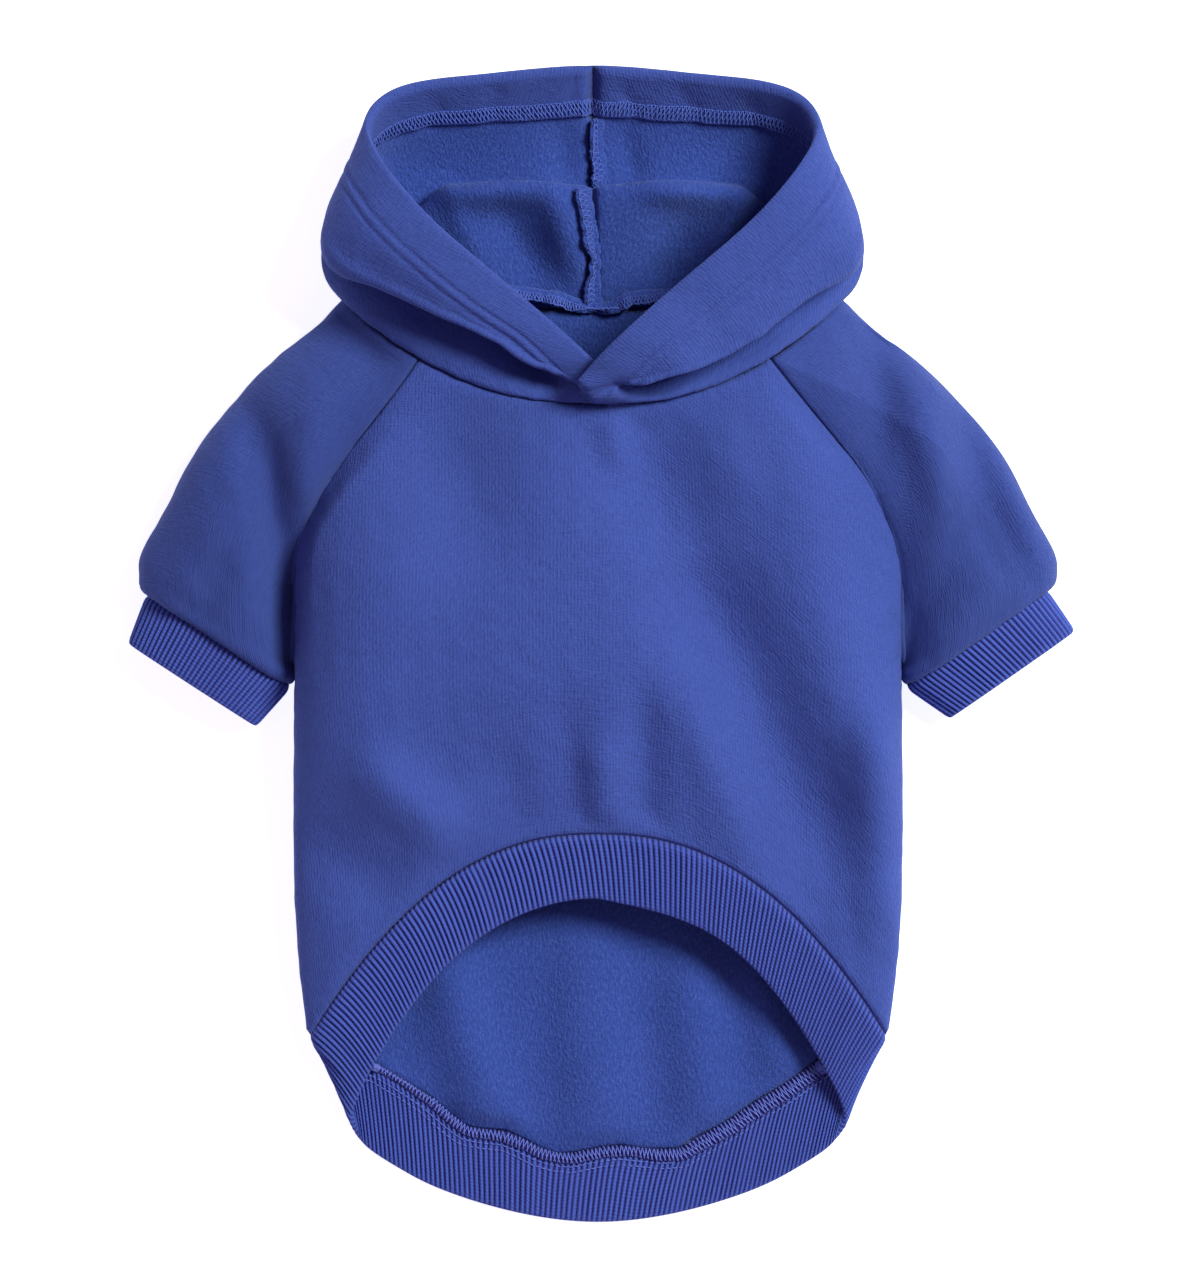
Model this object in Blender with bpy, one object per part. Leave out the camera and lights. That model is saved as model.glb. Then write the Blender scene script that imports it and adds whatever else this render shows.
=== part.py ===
"""Dog hoodie, lying flat on its back.

A pet sweatshirt in fleece: a short belly panel, a longer back panel, raglan sleeves
with rib cuffs, a rib band round the hem and a hood in two halves. It lies with its back
on the surface, the belly up (+Z) and the hood towards +Y. Sizes are in metres.
"""

import math
from collections import namedtuple

import bmesh
import bpy
import numpy as np

# Cloth and seams
FLEECE = 0.0022
RIB = 0.0034
SEAM_GAP = 0.0007
SEW_WITHIN = 0.001
FOLD_ROOM = 0.75
SHARP_CREASE = 0.5
THINNED = 0.08
CREASE_REACH = 5 * FLEECE
HOOD_HEM = 2 * FLEECE
HOOD_HEM_WIDTH = 0.020

# Lengths along the middle of the hoodie, as it lies
HOOD_LENGTH = 0.0985
BACK_LENGTH = 0.3480
BELLY_LENGTH = 0.1755
BAND_HEIGHT = 0.025
NECK_DROP = 0.0395

# Body, as it lies
CHEST_WIDTH = 0.2465
CHEST_LOFT = 0.048
WIDEST_HEIGHT = 0.015
ARMPIT_TO_HEM = 0.1535
HEM_CORNER_DROP = 0.0825
NECK_CORNER_RISE = 0.0185
SIDE_SEAM_TURN = math.radians(22)

# Neck
NECK_WIDTH = 0.2000
FRONT_NECK_WIDTH = 0.1420
BACK_NECK_WIDTH = 0.1280
NECK_SIDE_RISE = 0.026

# Sleeves and cuffs
SLEEVE_REACH = 0.157
SLEEVE_LOFT = 0.035
SLEEVE_MID_HEIGHT = 0.011
CUFF_WIDTH = 0.0677
CUFF_END_WIDTH = 0.0600
CUFF_LOFT = 0.024
CUFF_END_LOFT = 0.021
CUFF_HEIGHT = 0.0203
CUFF_TURN = {"left": math.radians(33), "right": math.radians(35)}
CUFF_LEAN = {"left": math.radians(-59), "right": math.radians(-45)}
UNDERARM = 0.0100
CUFF_CLEARANCE = 0.0004

# Hood
HOOD_WIDTH = 0.2220
HOOD_LOFT = 0.063
THROAT_LAP = HOOD_HEM + 0.0038
THROAT_LAP_AT_NECK = FLEECE + 0.0030
HOOD_LEAN = -0.0023
LEAN_START_Y = 0.070
LEAN_RUN = 0.080

# The outline of a cross-section: 2 is an ellipse, more is squarer.
TOP_SQUARENESS = 2.3
BESIDE_BODY_SQUARENESS = 1.0
CUFF_SQUARENESS = 2.0
BODY_HOLD = 0.85
UNDER_SQUARENESS = 3.2
BELLY_ROW_BEND = 2.3
BACK_ROW_BEND = 2.0

# Places that follow from the sizes. The origin is in the middle of the overall length.
FLOOR = FLEECE / 2
PRESSED = FLEECE / 4
OVERALL_LENGTH = HOOD_LENGTH + BACK_LENGTH + BAND_HEIGHT
CROWN_Y = OVERALL_LENGTH / 2
BACK_NECK_Y = CROWN_Y - HOOD_LENGTH
BACK_HEM_Y = BACK_NECK_Y - BACK_LENGTH
FRONT_NECK_Y = BACK_NECK_Y - NECK_DROP
BELLY_HEM_Y = FRONT_NECK_Y - BELLY_LENGTH
HEM_CORNER_Y = BELLY_HEM_Y - HEM_CORNER_DROP
ARMPIT_Y = HEM_CORNER_Y + ARMPIT_TO_HEM
NECK_CORNER_Y = FRONT_NECK_Y + NECK_CORNER_RISE
NECK_SIDE_Y = NECK_CORNER_Y + NECK_SIDE_RISE

# Facets
BELLY_STEPS = 10
BACK_STEPS = 8
SIDE_ROWS = 6
RAGLAN_ROWS = 8
NECK_SIDE_STEPS = 8
SLEEVE_ROWS = 8
HOOD_ROWS = 20
RIB_ROWS = 3

# The body from the hem (share 0) to the neck (share 1): half its width as a share of
# half the chest, and the height of its middle as a share of the chest's loft.
Level = namedtuple("Level", "share half_width crown")
BODY_LEVELS = (
    Level(0.00, 0.955, 0.76),
    Level(0.08, 0.985, 0.83),
    Level(0.22, 1.002, 0.92),
    Level(0.42, 1.000, 0.99),
    Level(0.60, 1.005, 1.00),
    Level(0.80, 0.960, 0.97),
    Level(1.00, 0.880, 0.90),
)
ARMPIT_SHARE = 0.42

# The raglan seams from the armpit (share 0) to the neck (share 1). Out is from the
# neck corner (0) to the armpit (1), and along is from the armpit (0) to the corner (1).
Raglan = namedtuple("Raglan", "share out along")
FRONT_RAGLAN = (
    Raglan(0.00, 1.00, 0.00),
    Raglan(0.18, 1.00, 0.18),
    Raglan(0.36, 0.98, 0.37),
    Raglan(0.52, 0.85, 0.52),
    Raglan(0.70, 0.58, 0.69),
    Raglan(0.86, 0.27, 0.85),
    Raglan(1.00, 0.00, 1.00),
)
BACK_RAGLAN = (
    Raglan(0.00, 1.00, 0.00),
    Raglan(0.25, 0.88, 0.25),
    Raglan(0.50, 0.65, 0.50),
    Raglan(0.75, 0.34, 0.76),
    Raglan(1.00, 0.00, 1.00),
)

# The side of the neck, from the front corner over the shoulder to the back corner: out
# as a share of half the neck's width, along from the front corner (0) to the side (1),
# and up from the floor (0) to the front corner's height (1).
NeckSide = namedtuple("NeckSide", "share out along up")
NECK_SIDE = (
    NeckSide(0.26, 0.860, 0.40, 0.80),
    NeckSide(0.46, 0.965, 0.77, 0.54),
    NeckSide(0.60, 1.000, 0.98, 0.30),
    NeckSide(0.72, 0.950, 1.05, 0.13),
    NeckSide(0.86, 0.800, 0.98, 0.02),
)

# The sleeve's sections, fanned round the underarm from the neck side (share 0) to the
# cuff (share 1): the direction in degrees from straight out, the reach as a share of
# the sleeve's reach, and the height as a share of the sleeve's loft.
Fan = namedtuple("Fan", "share degrees reach crown")
SLEEVE_FAN = (
    Fan(0.22, 88.0, 0.790, 1.00),
    Fan(0.42, 77.5, 0.691, 0.98),
    Fan(0.60, 66.0, 0.611, 0.94),
    Fan(0.78, 50.0, 0.524, 0.88),
    Fan(0.92, 37.5, 0.486, 0.80),
)

# The free edge of the hem band, from the middle of the belly (share 0) to the middle of
# the back (share 1): out as a share of half the chest, along from the belly hem (0) to
# the end of the back (1), and up as a share of the chest's loft.
BandEdge = namedtuple("BandEdge", "share out along up")
BAND_EDGE = (
    BandEdge(0.00, 0.000, 0.157, 0.66),
    BandEdge(0.15, 0.383, 0.252, 0.62),
    BandEdge(0.30, 0.655, 0.470, 0.47),
    BandEdge(0.45, 0.805, 0.674, 0.25),
    BandEdge(0.60, 0.815, 0.752, 0.13),
    BandEdge(0.70, 0.775, 0.802, 0.05),
    BandEdge(0.80, 0.660, 0.862, 0.034),
    BandEdge(0.90, 0.450, 0.936, 0.034),
    BandEdge(1.00, 0.000, 1.000, 0.034),
)

# Half the hood, from the throat (around 0) to the crown seam (around 1). At each station
# the hood leaves the neck seam at that share of the seam's length. The rings run between
# the neck seam and the rim: each row is out as a share of half the hood's width, along
# from the back neck (0) to the crown (1), and up as a share of the hood's loft.
Station = namedtuple("Station", "around neck")
HOOD_STATIONS = (
    Station(0.000, -0.017),
    Station(0.046, 0.067),
    Station(0.156, 0.190),
    Station(0.285, 0.310),
    Station(0.407, 0.420),
    Station(0.520, 0.505),
    Station(0.590, 0.550),
    Station(0.660, 0.640),
    Station(0.810, 0.800),
    Station(1.000, 1.000),
)
Ring = namedtuple("Ring", "out along up")
HOOD_RINGS = {
    "roll": (
        Ring(-0.05, -0.380, 0.75),
        Ring(0.14, -0.350, 0.78),
        Ring(0.38, -0.290, 0.79),
        Ring(0.62, -0.165, 0.73),
        Ring(0.80, -0.030, 0.60),
        Ring(0.95, 0.085, 0.41),
        Ring(0.98, 0.170, 0.27),
        Ring(0.85, 0.210, 0.08),
        Ring(0.43, 0.180, 0.09),
        Ring(0.00, 0.160, 0.10),
    ),
    "inner fold": (
        Ring(-0.06, -0.365, 0.77),
        Ring(0.14, -0.290, 0.795),
        Ring(0.37, -0.185, 0.835),
        Ring(0.61, -0.055, 0.785),
        Ring(0.80, 0.075, 0.67),
        Ring(0.96, 0.145, 0.48),
        Ring(0.97, 0.290, 0.34),
        Ring(0.85, 0.310, 0.09),
        Ring(0.41, 0.470, 0.22),
        Ring(0.00, 0.500, 0.26),
    ),
    "outer fold": (
        Ring(-0.06, -0.355, 0.795),
        Ring(0.14, -0.285, 0.825),
        Ring(0.37, -0.210, 0.90),
        Ring(0.60, -0.077, 0.87),
        Ring(0.83, 0.045, 0.73),
        Ring(0.985, 0.185, 0.56),
        Ring(0.94, 0.400, 0.41),
        Ring(0.84, 0.400, 0.11),
        Ring(0.40, 0.420, 0.10),
        Ring(0.00, 0.430, 0.11),
    ),
    "flap": (
        Ring(-0.06, -0.345, 0.82),
        Ring(0.09, -0.265, 0.87),
        Ring(0.32, -0.130, 0.97),
        Ring(0.55, 0.010, 0.98),
        Ring(0.79, 0.165, 0.90),
        Ring(0.930, 0.340, 0.76),
        Ring(0.895, 0.560, 0.54),
        Ring(0.815, 0.560, 0.16),
        Ring(0.40, 0.610, 0.05),
        Ring(0.00, 0.620, 0.05),
    ),
    "rim": (
        Ring(-0.067, -0.330, 0.83),
        Ring(0.00, -0.245, 0.87),
        Ring(0.18, -0.055, 0.96),
        Ring(0.40, 0.155, 1.00),
        Ring(0.61, 0.365, 0.95),
        Ring(0.775, 0.590, 0.84),
        Ring(0.830, 0.735, 0.66),
        Ring(0.775, 0.860, 0.50),
        Ring(0.44, 0.955, 0.36),
        Ring(0.00, 0.995, 0.32),
    ),
}

# Colours and surfaces
BLUE_FLEECE = (0.055, 0.090, 0.370, 1.0)
BLUE_RIB = (0.045, 0.070, 0.330, 1.0)


def spline(knots, values, at):
    """A natural cubic spline through the values at the knots, read at the places in `at`."""
    knots = np.asarray(knots, float)
    values = np.asarray(values, float)
    at = np.asarray(at, float)
    count = len(knots)
    step = np.diff(knots)
    slope = np.diff(values, axis=0) / step.reshape(-1, *([1] * (values.ndim - 1)))
    matrix = np.eye(count)
    right = np.zeros_like(values)
    for i in range(1, count - 1):
        matrix[i, i - 1 : i + 2] = step[i - 1], 2 * (step[i - 1] + step[i]), step[i]
        right[i] = 6 * (slope[i] - slope[i - 1])
    curve = np.linalg.solve(matrix, right.reshape(count, -1)).reshape(values.shape)
    i = np.clip(np.searchsorted(knots, at, side="right") - 1, 0, count - 2)
    wide = (-1, *([1] * (values.ndim - 1)))
    h = step[i].reshape(wide)
    a = (knots[i + 1] - at).reshape(wide) / h
    b = 1 - a
    bend = ((a**3 - a) * curve[i] + (b**3 - b) * curve[i + 1]) * h**2 / 6
    return a * values[i] + b * values[i + 1] + bend


def columns(table, *names):
    """The named columns of a table, as an array with one row for each row of the table."""
    return np.array([[getattr(row, name) for name in names] for row in table])


def mix(a, b, share):
    return a + (b - a) * share


def ease(share):
    """0 before share 0 and 1 after share 1, with a smooth step between."""
    share = min(max(share, 0.0), 1.0)
    return share * share * (3 - 2 * share)


def power(value, squareness):
    return math.copysign(abs(value) ** (2 / squareness), value)


def section(turn, half_width, crown, middle, top=TOP_SQUARENESS, under=UNDER_SQUARENESS):
    """(out, up) on a puffed cross-section that lies on the floor; turn 0 is its side."""
    across, up = math.cos(turn), math.sin(turn)
    if up >= 0:
        height = middle + (crown - middle) * power(up, top)
        return half_width * power(across, top), height
    height = middle + (middle - FLOOR + PRESSED) * power(up, under)
    return half_width * power(across, under), max(height, FLOOR)


def body_size(share):
    """(half width, crown height) of the body at this share of the way to the neck."""
    sizes = spline(
        columns(BODY_LEVELS, "share")[:, 0],
        columns(BODY_LEVELS, "half_width", "crown"),
        [share],
    )[0]
    return sizes[0] * CHEST_WIDTH / 2, sizes[1] * CHEST_LOFT


def side_turn(share):
    """Where the side seam runs on the cross-section. It comes up to the armpit."""
    return -SIDE_SEAM_TURN * ease((ARMPIT_SHARE - share) / 0.2)


def raglan_place(table, share, corner_out, corner_y):
    """(out, y) of a raglan seam, share 0 at the armpit and 1 at the neck corner."""
    knots = columns(table, "share")[:, 0]
    out, along = spline(knots, columns(table, "out", "along"), [share])[0]
    return mix(corner_out, body_size(ARMPIT_SHARE)[0], out), mix(ARMPIT_Y, corner_y, along)


def turn_at(out, half_width, squareness):
    """The turn from the side at which the cross-section is this far out."""
    return math.acos(min(out / half_width, 1.0) ** (squareness / 2))


def belly_point(share, across):
    """A point of the belly; across is 0 at the middle and 1 at the seam at its edge."""
    half_width, crown = body_size(share)
    middle_y = mix(BELLY_HEM_Y, FRONT_NECK_Y, share)
    if share <= ARMPIT_SHARE:
        last = side_turn(share)
        edge_out = half_width
        edge_y = mix(HEM_CORNER_Y, ARMPIT_Y, share / ARMPIT_SHARE)
    else:
        up_seam = (share - ARMPIT_SHARE) / (1 - ARMPIT_SHARE)
        edge_out, edge_y = raglan_place(
            FRONT_RAGLAN, up_seam, FRONT_NECK_WIDTH / 2, NECK_CORNER_Y
        )
        last = turn_at(edge_out, half_width, TOP_SQUARENESS)
    turn = mix(math.pi / 2, last, abs(across))
    out, up = section(turn, half_width, crown, WIDEST_HEIGHT)
    reach = out / edge_out if turn >= 0 else 1 + 0.7 * (1 - out / half_width)
    y = mix(middle_y, edge_y, reach**BELLY_ROW_BEND)
    return math.copysign(out, across), y, up


def back_point(share, across):
    """A point of the back; across is 0 at the middle and 1 at the seam at its edge."""
    half_width, crown = body_size(share)
    middle_y = mix(BACK_HEM_Y, BACK_NECK_Y, share)
    if share <= ARMPIT_SHARE:
        first = side_turn(share)
        edge_y = belly_point(share, 1.0)[1]
    else:
        up_seam = (share - ARMPIT_SHARE) / (1 - ARMPIT_SHARE)
        out, edge_y = raglan_place(
            BACK_RAGLAN, up_seam, BACK_NECK_WIDTH / 2, BACK_NECK_Y + 0.004
        )
        first = -turn_at(out, half_width, UNDER_SQUARENESS)
    edge_out = section(first, half_width, crown, WIDEST_HEIGHT)[0]
    turn = mix(-math.pi / 2, first, abs(across))
    out, up = section(turn, half_width, crown, WIDEST_HEIGHT)
    y = mix(middle_y, edge_y, (out / edge_out) ** BACK_ROW_BEND)
    return math.copysign(out, across), y, up


def body_shares():
    """The rows of the body from the hem to the neck, with one at the armpit."""
    side = np.linspace(0, ARMPIT_SHARE, SIDE_ROWS + 1)
    return np.concatenate([side, np.linspace(ARMPIT_SHARE, 1, RAGLAN_ROWS + 1)[1:]])


def panel_grid(point, steps):
    """A body panel's middle surface, one row for each share, from -X to +X."""
    across = np.linspace(-1, 1, 2 * steps + 1)
    return np.array([[point(share, a) for a in across] for share in body_shares()])


def neck_side():
    """The neck seam over one shoulder, from the front corner to the back corner."""
    front = np.array(belly_point(1.0, 1.0))
    back = np.array(back_point(1.0, 1.0))
    share, out, along, up = columns(NECK_SIDE, "share", "out", "along", "up").T
    places = np.stack(
        [
            out * NECK_WIDTH / 2,
            mix(NECK_CORNER_Y, NECK_SIDE_Y, along),
            mix(FLOOR, front[2], up),
        ],
        axis=1,
    )
    knots = np.concatenate([[0], share, [1]])
    return spline(
        knots,
        np.concatenate([[front], places, [back]]),
        np.linspace(0, 1, NECK_SIDE_STEPS + 1),
    )


def armhole():
    """One closed loop on the +X side: up the front raglan seam, over the shoulder along
    the neck, and down the back raglan seam."""
    rows = np.linspace(ARMPIT_SHARE, 1, RAGLAN_ROWS + 1)
    front = [belly_point(share, 1.0) for share in rows]
    back = [back_point(share, 1.0) for share in rows[::-1]]
    return np.concatenate([front, neck_side()[1:-1], back[:-1]])


def round_reaches(count):
    """How far along each point of a loop is: 0 at its inner end, 1 at its outer end."""
    return (1 - np.cos(2 * math.pi * np.arange(count) / count)) / 2


def reaches_of(loop):
    """How far along each point of this loop is, by its length on either side."""
    lengths = np.linalg.norm(np.roll(loop, -1, axis=0) - loop, axis=1)
    so_far = np.concatenate([[0], np.cumsum(lengths)])
    half = len(loop) // 2
    front = so_far[:half] / so_far[half]
    back = (so_far[-1] - so_far[half:-1]) / (so_far[-1] - so_far[half])
    return np.concatenate([front, back])


def fan_section(inner, degrees, reach, crown, beside, reaches):
    """A closed sleeve section from an inner end, in a direction, round by the top. The
    end beside the body has its own squareness."""
    way = np.array([math.cos(degrees), math.sin(degrees)])
    loop = []
    for i, share in enumerate(reaches):
        out = 2 * share - 1
        under = i > len(reaches) // 2
        full = UNDER_SQUARENESS if under else TOP_SQUARENESS
        squareness = mix(full, beside, max(0.0, -out))
        bulge = (1 - abs(out) ** squareness) ** (1 / squareness)
        limit = FLOOR - PRESSED if under else crown
        up = mix(SLEEVE_MID_HEIGHT, limit, bulge)
        loop.append([*(inner + way * reach * share), max(up, FLOOR)])
    return np.array(loop)


def cuff_seam(side, count):
    """The closed seam between this sleeve and its cuff, drawn on the +X side."""
    beside_body = CHEST_WIDTH / 2 + FLEECE / 2 + CUFF_CLEARANCE + RIB / 2
    inner = np.array([beside_body, ARMPIT_Y - UNDERARM])
    return fan_section(
        inner,
        CUFF_TURN[side],
        CUFF_WIDTH,
        CUFF_LOFT,
        CUFF_SQUARENESS,
        round_reaches(count),
    )


def sleeve_grid(side):
    """A sleeve, drawn on the +X side: a row for each loop from armhole to cuff seam."""
    first = armhole()
    count = len(first)
    last = cuff_seam(side, count)
    loops = [first]
    for row in SLEEVE_FAN:
        away = math.sqrt(1 - (1 - row.share) ** 2)
        inner = mix(first[0, :2], last[0, :2], np.array([away, row.share**1.3]))
        loop = fan_section(
            inner,
            math.radians(row.degrees),
            row.reach * SLEEVE_REACH,
            row.crown * SLEEVE_LOFT,
            mix(BESIDE_BODY_SQUARENESS, CUFF_SQUARENESS, row.share),
            mix(reaches_of(first), round_reaches(count), row.share),
        )
        loop[:, 2] = mix(first[:, 2], loop[:, 2], ease(row.share / BODY_HOLD))
        loops.append(loop)
    loops.append(last)
    knots = [0, *(row.share for row in SLEEVE_FAN), 1]
    return spline(knots, loops, np.linspace(0, 1, SLEEVE_ROWS + 1))


def cuff_grid(side):
    """A cuff, drawn on the +X side, from its seam to its free edge."""
    count = len(armhole())
    seam = cuff_seam(side, count)
    axis = np.array([math.cos(CUFF_LEAN[side]), math.sin(CUFF_LEAN[side])])
    way = np.array([math.cos(CUFF_TURN[side]), math.sin(CUFF_TURN[side])])
    narrowing = way * (CUFF_WIDTH - CUFF_END_WIDTH) / 2
    end = fan_section(
        seam[0, :2] + axis * CUFF_HEIGHT + narrowing,
        CUFF_TURN[side],
        CUFF_END_WIDTH,
        CUFF_END_LOFT,
        CUFF_SQUARENESS,
        round_reaches(count),
    )
    grid = np.array([mix(seam, end, s) for s in np.linspace(0, 1, RIB_ROWS + 1)])
    grid[..., 2] = np.maximum(grid[..., 2], RIB / 2)
    return grid


def band_grid(belly, back):
    """The hem band, from its seam along the panels' hems to its free edge."""
    seam = np.concatenate([belly[0], back[0, ::-1][1:-1]])
    half = BELLY_STEPS + BACK_STEPS
    knots, out, along, up = columns(BAND_EDGE, "share", "out", "along", "up").T
    places = np.stack(
        [
            out * CHEST_WIDTH / 2,
            mix(BELLY_HEM_Y, -OVERALL_LENGTH / 2, along),
            np.maximum(up * CHEST_LOFT, RIB / 2),
        ],
        axis=1,
    )
    other = places[:-1][::-1] * (-1, 1, 1)
    loop = np.concatenate([places, other, places[1:2]])
    knots = np.concatenate([knots, 2 - knots[:-1][::-1], [2 + knots[1]]])
    at = (np.arange(2 * half) - BELLY_STEPS) / half
    edge = spline(knots, loop, at % 2)
    grid = np.array([mix(seam, edge, s) for s in np.linspace(0, 1, RIB_ROWS + 1)])
    grid[..., 2] = np.maximum(grid[..., 2], RIB / 2)
    return grid


def neck_curve():
    """Half the neck seam on the +X side: its points, and their shares of its length."""
    front = [belly_point(1.0, a) for a in np.linspace(0, 1, BELLY_STEPS + 1)]
    back = [back_point(1.0, a) for a in np.linspace(1, 0, BACK_STEPS + 1)]
    points = np.concatenate([front[:-1], neck_side()[:-1], back])
    lengths = np.linalg.norm(np.diff(points, axis=0), axis=1)
    shares = np.concatenate([[0], np.cumsum(lengths)]) / lengths.sum()
    return shares, points


def hood_neck(at):
    """Points of the neck seam at these shares, which may pass the middle of the front."""
    shares, points = neck_curve()
    before = points[1:4][::-1] * (-1, 1, 1)
    after = points[-4:-1][::-1] * (-1, 1, 1)
    knots = np.concatenate([-shares[1:4][::-1], shares, 2 - shares[-4:-1][::-1]])
    return spline(knots, np.concatenate([before, points, after]), at)


def hood_grid(laps_over):
    """Half the hood on the +X side, a row for each ring from the neck seam to the rim.
    The half that laps over has its throat lifted, to lie over the other half."""
    around, neck = columns(HOOD_STATIONS, "around", "neck").T
    rings = [hood_neck(neck)]
    for table in HOOD_RINGS.values():
        out, along, up = columns(table, "out", "along", "up").T
        rings.append(
            np.stack(
                [
                    out * HOOD_WIDTH / 2,
                    mix(BACK_NECK_Y, CROWN_Y, along),
                    np.maximum(up * HOOD_LOFT, FLOOR),
                ],
                axis=1,
            )
        )
    rings = np.array(rings)
    mirrored = rings[:, :-1][:, ::-1] * (-1, 1, 1)
    whole = np.concatenate([rings, mirrored], axis=1)
    knots = np.concatenate([around, 2 - around[:-1][::-1]])
    at = np.concatenate([neck[:1], neck_curve()[0]])
    steps = np.interp(at, neck, around)
    guides = spline(knots, whole.transpose(1, 0, 2), steps)
    guides[:, 0] = hood_neck(at)
    if laps_over:
        for s, guide in zip(steps, guides):
            guide[0, 2] += THROAT_LAP_AT_NECK * ease((0.09 - s) / 0.06)
            guide[1:, 2] += THROAT_LAP * ease((0.24 - s) / 0.16)
    columns_of = []
    for guide in guides:
        lengths = np.linalg.norm(np.diff(guide, axis=0), axis=1) ** 0.7
        places = np.concatenate([[0], np.cumsum(lengths)]) / lengths.sum()
        columns_of.append(spline(places, guide, np.linspace(0, 1, HOOD_ROWS + 1)))
    grid = np.array(columns_of).transpose(1, 0, 2)
    grid[..., 2] = np.maximum(grid[..., 2], FLOOR)
    return grid


def leaned(grid):
    """The hood's end of the hoodie lies a little to one side."""
    grid = np.array(grid)
    grid[..., 0] += HOOD_LEAN * np.vectorize(ease)((grid[..., 1] - LEAN_START_Y) / LEAN_RUN)
    return grid


def unit(vectors):
    return vectors / np.maximum(np.linalg.norm(vectors, axis=-1, keepdims=True), 1e-12)


def normals_of(grid, closed):
    """The upward or outward normal of each point of a grid; closed rows are loops."""
    if closed:
        wrapped = np.concatenate([grid[:, -1:], grid, grid[:, :1]], axis=1)
        along_row = np.gradient(wrapped, axis=1)[:, 1:-1]
    else:
        along_row = np.gradient(grid, axis=1)
    return unit(np.cross(along_row, np.gradient(grid, axis=0)))


class Panel:
    """A piece of cloth: its middle surface as a grid, and its thickness on each side."""

    def __init__(self, name, grid, thickness, closed=False, flip=False, free_edge=False):
        self.name = name
        self.grid = leaned(grid)
        self.closed = closed
        self.free_edge = free_edge
        self.outer = np.full(self.grid.shape[:2], thickness / 2)
        self.inner = np.full(self.grid.shape[:2], thickness / 2)
        self.normals = normals_of(self.grid, closed) * (-1 if flip else 1)
        self.given = self.normals.copy()

    def relieve(self):
        """Thins the cloth on the inside of its tightest folds, so that it stays clear
        of itself there."""
        limits = [np.full(self.outer.shape, 1.0), np.full(self.outer.shape, 1.0)]
        for axis in (0, 1):
            shift = -1
            step = np.roll(self.grid, shift, axis=axis) - self.grid
            turn = np.roll(self.normals, shift, axis=axis) - self.normals
            length = np.maximum((step**2).sum(axis=2), 1e-12)
            closing = -(step * turn).sum(axis=2) / length
            if axis == 0:
                closing[-1] = 0
            elif not self.closed:
                closing[:, -1] = 0
            for limit, sign in zip(limits, (1, -1)):
                room = FOLD_ROOM / np.maximum(sign * closing, 1e-3)
                np.minimum(limit, room, out=limit)
                np.minimum(limit, np.roll(room, 1, axis=axis), out=limit)
        self.outer = np.minimum(self.outer, limits[0])
        self.inner = np.minimum(self.inner, limits[1])

    def edge(self, side):
        """The index of one edge of the grid: first or last row, first or last column."""
        return {
            "first row": (0, slice(None)),
            "last row": (-1, slice(None)),
            "first column": (slice(None), 0),
            "last column": (slice(None), -1),
        }[side]

    def beside(self, side):
        """The index of the row or column next to that edge."""
        inner = {"first": 1, "last": -2}[side.split()[0]]
        return (inner, slice(None)) if side.endswith("row") else (slice(None), inner)


def nearest_on(points, values, closed, point):
    """The values of a polyline at its nearest place, and how far off that is."""
    ends = np.roll(points, -1, axis=0) if closed else points[1:]
    next_values = np.roll(values, -1, axis=0) if closed else values[1:]
    starts = points[: len(ends)]
    way = ends - starts
    length = np.maximum((way**2).sum(axis=1), 1e-18)
    share = np.clip(((point - starts) * way).sum(axis=1) / length, 0, 1)[:, None]
    off = np.linalg.norm(starts + way * share - point, axis=1)
    i = off.argmin()
    return mix(values[i], next_values[i], share[i]), off[i]


def sew(edges):
    """Where edges meet they share one normal, so that the ends of the cloth are mitred
    and the seam's gap is even. In a sharp crease the cloth thins towards the seam on its
    facing sides. Each edge then draws back by half the gap."""
    drawn = []
    for panel, side in edges:
        points = panel.grid[panel.edge(side)].copy()
        inward = unit(panel.grid[panel.beside(side)] - points)
        values = np.concatenate([panel.given[panel.edge(side)], inward], axis=1)
        loop = panel.closed and side.endswith("row")
        drawn.append((panel, side, points, values, loop))
    for panel, side, points, own_values, _ in drawn:
        index = panel.edge(side)
        for k, point in enumerate(points):
            met = {}
            for other, _, other_points, values, loop in drawn:
                if other is panel:
                    continue
                value, off = nearest_on(other_points, values, loop, point)
                if off < met.get(other.name, (SEW_WITHIN,))[0]:
                    met[other.name] = off, value
            if not met:
                continue
            own = own_values[k, :3]
            shared = own.copy()
            for _, value in met.values():
                openness = 1 + min(own @ unit(value[:3]), 0.0) / SHARP_CREASE
                openness = max(openness, THINNED)
                if openness > THINNED:
                    shared += unit(value[:3])
                if openness < 1:
                    facing = panel.outer if own @ value[3:] > 0 else panel.inner
                    off = np.linalg.norm(panel.grid - point, axis=2) / CREASE_REACH
                    limit = FLEECE / 2 * mix(openness, 1, np.minimum(off, 1))
                    limit[off > 1] = RIB
                    np.minimum(facing, limit, out=facing)
            shared = unit(shared)
            panel.normals[index][k] = shared / max(shared @ own, 0.6)
    for panel, side, _, values, _ in drawn:
        panel.grid[panel.edge(side)] += values[:, 3:] * SEAM_GAP / 2


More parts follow.
